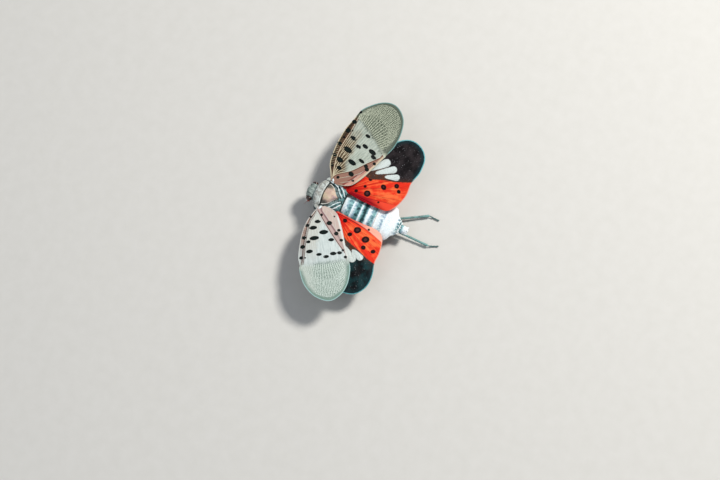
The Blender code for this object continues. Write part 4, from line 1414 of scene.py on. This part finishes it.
def add_collar_lobe(shape, side):
    """The part of the collar that hangs down beside the thorax, with a round lower edge."""
    along, down = np.meshgrid(np.linspace(0, 1, 40), np.linspace(0, 1, 26), indexing="xy")
    x, y = np.moveaxis(Path(curve_through(COLLAR_LOBE, steps=12)).at(along), -1, 0)
    depth = 1.25 * np.sqrt(np.clip(1 - np.abs(2 * along - 1) ** 2.6, 0.02, 1))
    bulge = 0.16 * np.sin(math.pi * down) + 0.04 * ridge(down, 0.9, 0.08)
    outer = np.stack((x + bulge, y - 0.5 * bulge, COLLAR_TOP - depth * down), axis=-1)
    inner = outer - (0.16, -0.1, 0.0)
    over, under = (inner, outer) if side == LEFT else (outer, inner)
    shape.add_slab(mirrored(over, side), mirrored(under, side), finish=1,
                   fields={"ridge": 0.6 * ridge(down, 0.94, 0.06), "groove": 0.0})


def build_tegulae(materials):
    """The scale over each forewing's root: two flat lumps."""
    for side, side_name in SIDE_NAMES.items():
        shape = Shape()
        for centre, radii, turn, rows, columns, seed, white in TEGULA_LUMPS:
            shape.add_ball(mirrored(centre, side), radii, side * turn, rows, columns, rough=0.1, seed=seed,
                           fields={"ridge": white})
        name = f"tegula_{side_name}"
        shape.to_piece(f"{name}_scale", [materials["pronotum"]], [name], "pronotum")


def build_abdomen(materials):
    """The abdomen: overlapping rings with a fold along each side, thick with wax above."""
    ends = np.array(SEGMENT_ENDS)
    stations = (ends[:-1, None] + np.diff(ends)[:, None] * RING_SHARES).ravel()
    within = np.tile(RING_SHARES, len(ends) - 1)[:, None]
    number = np.repeat(np.arange(len(ends) - 1), len(RING_SHARES))[:, None]
    grid, angles = body_grid(stations, ABDOMEN_SIZE, 2.1, 2.0, 96)
    sine = np.sin(angles)[None, :]
    step = -0.1 * (1 - smooth_step(within, 0.0, 0.35)) - 0.05 * smooth_step(within, 0.96, 1.0)
    fold = ridge(sine, -0.28, 0.12) * (np.abs(np.cos(angles)) > 0.3)
    lumps = noise_at(grid * (1.1, 1.6, 1.1))
    fine = noise_at(grid * 4.0)
    push = step - 0.16 * fold + np.where(sine > -0.2, 0.05 * lumps + 0.025 * fine, 0.015 * fine)
    grid = grid + unit(grid - grid.mean(axis=1, keepdims=True)) * push[..., None]
    depth, peak, end = (np.array(column)[number] for column in zip(*SEGMENT_BANDS))
    rise = smooth_step(within / peak, -0.1, 1.0)
    hump = np.where(within < peak, rise, smooth_step((end - within) / (end - peak), 0.0, 0.9))
    bare = depth * hump * (0.25 + 0.75 * smooth_step(sine, 0.0, 0.5))
    seam = ridge(stations[:, None], BROWN_SEAM, 0.1) + 0.3 * (1 - smooth_step(within, 0, 0.1)) * (number > 0)
    shape = Shape()
    shape.add_loft(grid, fields={
        "within": within + 0 * sine, "bare": bare, "patchy": np.clip(bare * 2.5, 0.06, 0.9),
        "belly": 1 - smooth_step(sine, -0.34, -0.2) + 0 * within, "seam": seam * (sine > 0.2)})
    nodes = [f"abdomen_segment_{k}" for k in range(1, len(ends))]
    shape.to_piece("abdomen_rings", [materials["wax"]], nodes, "wax")


def build_tail(materials):
    """The tube at the end of the abdomen, under clots of wax."""
    shape = Shape()
    grid, _ = body_grid(np.linspace(15.1, 16.85, 24), TAIL_SIZE, 2.0, 2.0, 40)
    grid = grid + 0.04 * noise_at(grid * 3.0)[..., None]
    bare = 0.85 * (1 - smooth_step(grid[..., 1], 15.2, 16.3))
    shape.add_loft(grid, fields={"within": 0.0, "bare": bare, "patchy": 0.6, "belly": 0.0, "seam": 0.0})
    shape.to_piece("anal_tube_shell", [materials["wax"]], ["anal_tube"], "wax")


def build_wax_clots(materials):
    """Clots of wax over the top and sides of the abdomen, thickest on its last segments, and round the tail.
    """
    draw = random.Random(CLOT_SEED)
    shape = Shape()
    line = curve_through(ABDOMEN_SIZE)
    count, thickest, spread = BODY_CLOTS
    for k in range(count):
        y = thickest - abs(draw.gauss(0, 1)) * spread
        if y < FIRST_CLOT:
            continue
        half, under, top = (float(np.interp(y, line[:, 0], line[:, j])) for j in (1, 2, 3))
        angle = draw.uniform(0.0, math.pi)
        size = draw.uniform(0.03, 0.09)
        z = (under + top) / 2 + math.sin(angle) * (top - under) / 2 * 0.97
        centre = (math.cos(angle) * half * 0.97, y, z)
        shape.add_ball(centre, (size * 1.9, size * 1.4, size * 0.6), draw.uniform(0, 360), rows=7, columns=11,
                       rough=0.7, seed=k * 1.7)
    count, thickest, spread = TAIL_CLOTS
    for k in range(count):
        angle = draw.uniform(0, 2 * math.pi)
        y = thickest - abs(draw.gauss(0, 1)) * spread
        size = draw.uniform(0.05, 0.14)
        centre = (math.cos(angle) * 0.72, y, 2.85 + math.sin(angle) * 0.52)
        shape.add_ball(centre, (size * 1.5, size * 1.3, size), draw.uniform(0, 360), rows=7, columns=10,
                       rough=0.5, seed=k * 2.3 + 9)
    shape.to_piece("wax_clots", [materials["clots"]], [], "wax")


def across_limb(along):
    """The level and the upright direction across a limb."""
    side = unit(np.cross(along, UPRIGHT))
    return side, np.cross(side, along)


def add_hair(shape, root, lean, length, radius=0.012):
    """A fine bristle that tapers to a point."""
    path = root + unit(lean) * length * np.array((0.0, 0.5, 1.0))[:, None]
    shape.add_tube(path, (radius, radius * 0.7, radius * 0.15), sides=4, fields={"bloom_and_highlight": 0.0})


def add_limb(shape, start, end, profile, bloom_and_highlight, bend=0.0, sides=12):
    """A limb part: straight or slightly bowed, as thick as its profile says."""
    share = np.linspace(0, 1, 22)
    path = start + (end - start) * share[:, None]
    path[:, 2] = np.maximum(path[:, 2] + bend * np.sin(math.pi * share), LOWEST_LIMB)
    thick = np.interp(share, *zip(*profile))
    shape.add_tube(path, thick, sides=sides, fields={"bloom_and_highlight": bloom_and_highlight})
    return path, thick


def add_bristles(shape, path, thick, draw, count, length):
    """Short bristles over a limb, leaning towards its end."""
    along = unit(path[-1] - path[0])
    side, up = across_limb(along)
    for _ in range(count):
        k = draw.randrange(1, len(path) - 1)
        angle = draw.uniform(0, 2 * math.pi)
        out = side * math.cos(angle) + up * math.sin(angle)
        root = path[k] + out * thick[k] * 0.95
        if root[2] < LOWEST_HAIR:
            continue
        add_hair(shape, root, out * 0.7 + along * 1.2, length * draw.uniform(0.7, 1.2))


def build_leg(pair, side, joints, materials):
    """A leg: hip, thigh, shin with spines, a three-part foot and two claws."""
    shape = Shape()
    draw = random.Random(LEG_SEED + len(pair) + side)
    bloom_and_highlight = LEG_BLOOM_AND_HIGHLIGHT[pair]
    hip, thigh, knee, ankle, claw = (np.array(point, float) for point in joints)
    add_limb(shape, hip, thigh, HIP_PROFILE, 0.4)
    for joint, radius in ((hip, 0.34), (thigh, 0.26)):
        centre = (*joint[:2], max(joint[2], radius))
        shape.add_ball(centre, (radius, radius, radius * 0.95), columns=16, fields={"bloom_and_highlight": 0.4})
    path, thick = add_limb(shape, thigh, knee, THIGH_PROFILE, bloom_and_highlight * 0.8, bend=0.12)
    add_bristles(shape, path, thick, draw, *THIGH_BRISTLES)
    path, thick = add_limb(shape, knee, ankle, SHIN_PROFILE, bloom_and_highlight, bend=0.08)
    add_bristles(shape, path, thick, draw, *SHIN_BRISTLES)
    add_spines(shape, path, thick, SHIN_SPINES[pair])
    add_foot(shape, ankle, claw, draw)
    name = f"{pair}_leg_{SIDE_NAMES[side]}"
    shape.to_piece(f"{name}_shell", [materials["leg"]], [f"{name}_{part}" for part in LEG_PARTS], "leg")


def add_spines(shape, path, thick, count):
    """Stout spines down the outer side of a shin, and a crown of them at its end."""
    along = unit(path[-1] - path[0])
    side, up = across_limb(along)
    for k in range(count):
        place = int(len(path) * (0.3 + 0.13 * k))
        add_hair(shape, path[place] + side * thick[place] * 0.8, side * 0.9 + along * 0.8, 0.34, radius=0.06)
    for angle in np.linspace(0, math.pi, 5):
        out = side * math.cos(angle) + up * math.sin(angle) * 0.6
        add_hair(shape, path[-2] + out * thick[-2] * 0.7, out * 0.4 + along, 0.26, radius=0.045)


def add_foot(shape, ankle, claw, draw):
    """Three foot joints, each wider at its far end, two curved claws and a pad between them."""
    joints = [ankle + (claw - ankle) * share for share in TOE_SHARES]
    for point in joints[1:]:
        point[2] = TOE_HEIGHT
    for start, end in zip(joints, joints[1:]):
        path, thick = add_limb(shape, start, end, TOE_PROFILE, 0.5, sides=10)
        add_bristles(shape, path, thick, draw, *TOE_BRISTLES)
    tip = joints[-1]
    along = unit((tip - joints[-2]) * (1.0, 1.0, 0.0))
    side, _ = across_limb(along)
    for sign in (-1, 1):
        hook = curve_through((tip, tip + along * 0.04 + side * sign * 0.1,
                              tip + along * 0.05 + side * sign * 0.18 - (0.0, 0.0, 0.1)), steps=4)
        shape.add_tube(hook, np.linspace(0.05, 0.012, len(hook)), fields={"bloom_and_highlight": 0.0})
    pad = (tip, tip + along * 0.02, tip + along * 0.04)
    shape.add_tube(pad, (0.07, 0.09, 0.04), sides=8, fields={"bloom_and_highlight": 0.2})


def build_legs(materials):
    for pair, joints in LEG_JOINTS.items():
        build_leg(pair, LEFT, joints, materials)
        build_leg(pair, RIGHT, RIGHT_HIND_JOINTS if pair == "hind" else mirrored(joints, RIGHT), materials)


def make_stage():
    """A plain pale floor, a soft key light from the photo's sunny side and a pale sky."""
    bpy.ops.mesh.primitive_plane_add(size=FLOOR_SIZE, location=(0, 0, -FLOOR_GAP))
    floor = bpy.context.object
    floor.name = "floor"
    look = Look("floor", roughness=0.9, specular=0.1)
    colour = look.layers((206, 204, 198), (look.noise(look.place(), 0.4), (214, 212, 207)))
    floor.data.materials.append(look.finish(colour))
    world = bpy.data.worlds.new("sky")
    world.use_nodes = True
    sky = world.node_tree.nodes["Background"]
    sky.inputs["Color"].default_value = SKY_COLOUR
    sky.inputs["Strength"].default_value = SKY_STRENGTH
    bpy.context.scene.world = world
    for light in LIGHTS:
        add_light(*light)
    bpy.context.scene.view_settings.view_transform = "Standard"


def add_light(name, place, size, power, colour):
    """A square soft light that points at the insect."""
    data = bpy.data.lights.new(name, "AREA")
    data.size = size
    data.energy = power
    data.color = colour
    light = bpy.data.objects.new(name, data)
    light.location = place
    light.rotation_euler = (-Vector(place)).to_track_quat("-Z", "Y").to_euler()
    bpy.context.scene.collection.objects.link(light)


def make_camera():
    """The photo's view: high over the insect's left side, with the mesonotum at its place in the frame."""
    azimuth = math.radians(CAMERA_AZIMUTH)
    elevation = math.radians(CAMERA_ELEVATION)
    back = Vector((math.sin(azimuth) * math.cos(elevation), -math.cos(azimuth) * math.cos(elevation),
                   math.sin(elevation)))
    right = Vector((math.cos(azimuth), math.sin(azimuth), 0.0))
    up = back.cross(right)
    pixels = LENS / SENSOR * FRAME_WIDTH
    aside = ANCHOR_PIXEL[0] - FRAME_WIDTH / 2
    above = FRAME_HEIGHT / 2 - ANCHOR_PIXEL[1]
    ray = -back * pixels + right * aside + up * above
    anchor = Vector((ANCHOR_PLACE + BODY_SHIFT) * MM)
    data = bpy.data.cameras.new("camera")
    data.lens = LENS
    data.sensor_width = SENSOR
    data.clip_start = CLIP_START
    camera = bpy.data.objects.new("camera", data)
    turn = Matrix((right, up, back)).transposed().to_4x4()
    camera.matrix_world = Matrix.Translation(anchor - ray * (CAMERA_DISTANCE * MM / pixels)) @ turn
    bpy.context.scene.collection.objects.link(camera)
    bpy.context.scene.camera = camera


def build():
    materials = make_materials()
    make_stage()
    make_camera()
    for side in SIDE_NAMES:
        Forewing(side).build()
        Hindwing(side).build()
    for build_part in (build_head, build_eyes, build_antennae, build_rostrum, build_thorax, build_pronotum,
                       build_mesonotum, build_metanotum, build_tegulae, build_abdomen, build_tail,
                       build_wax_clots, build_legs):
        build_part(materials)


build()
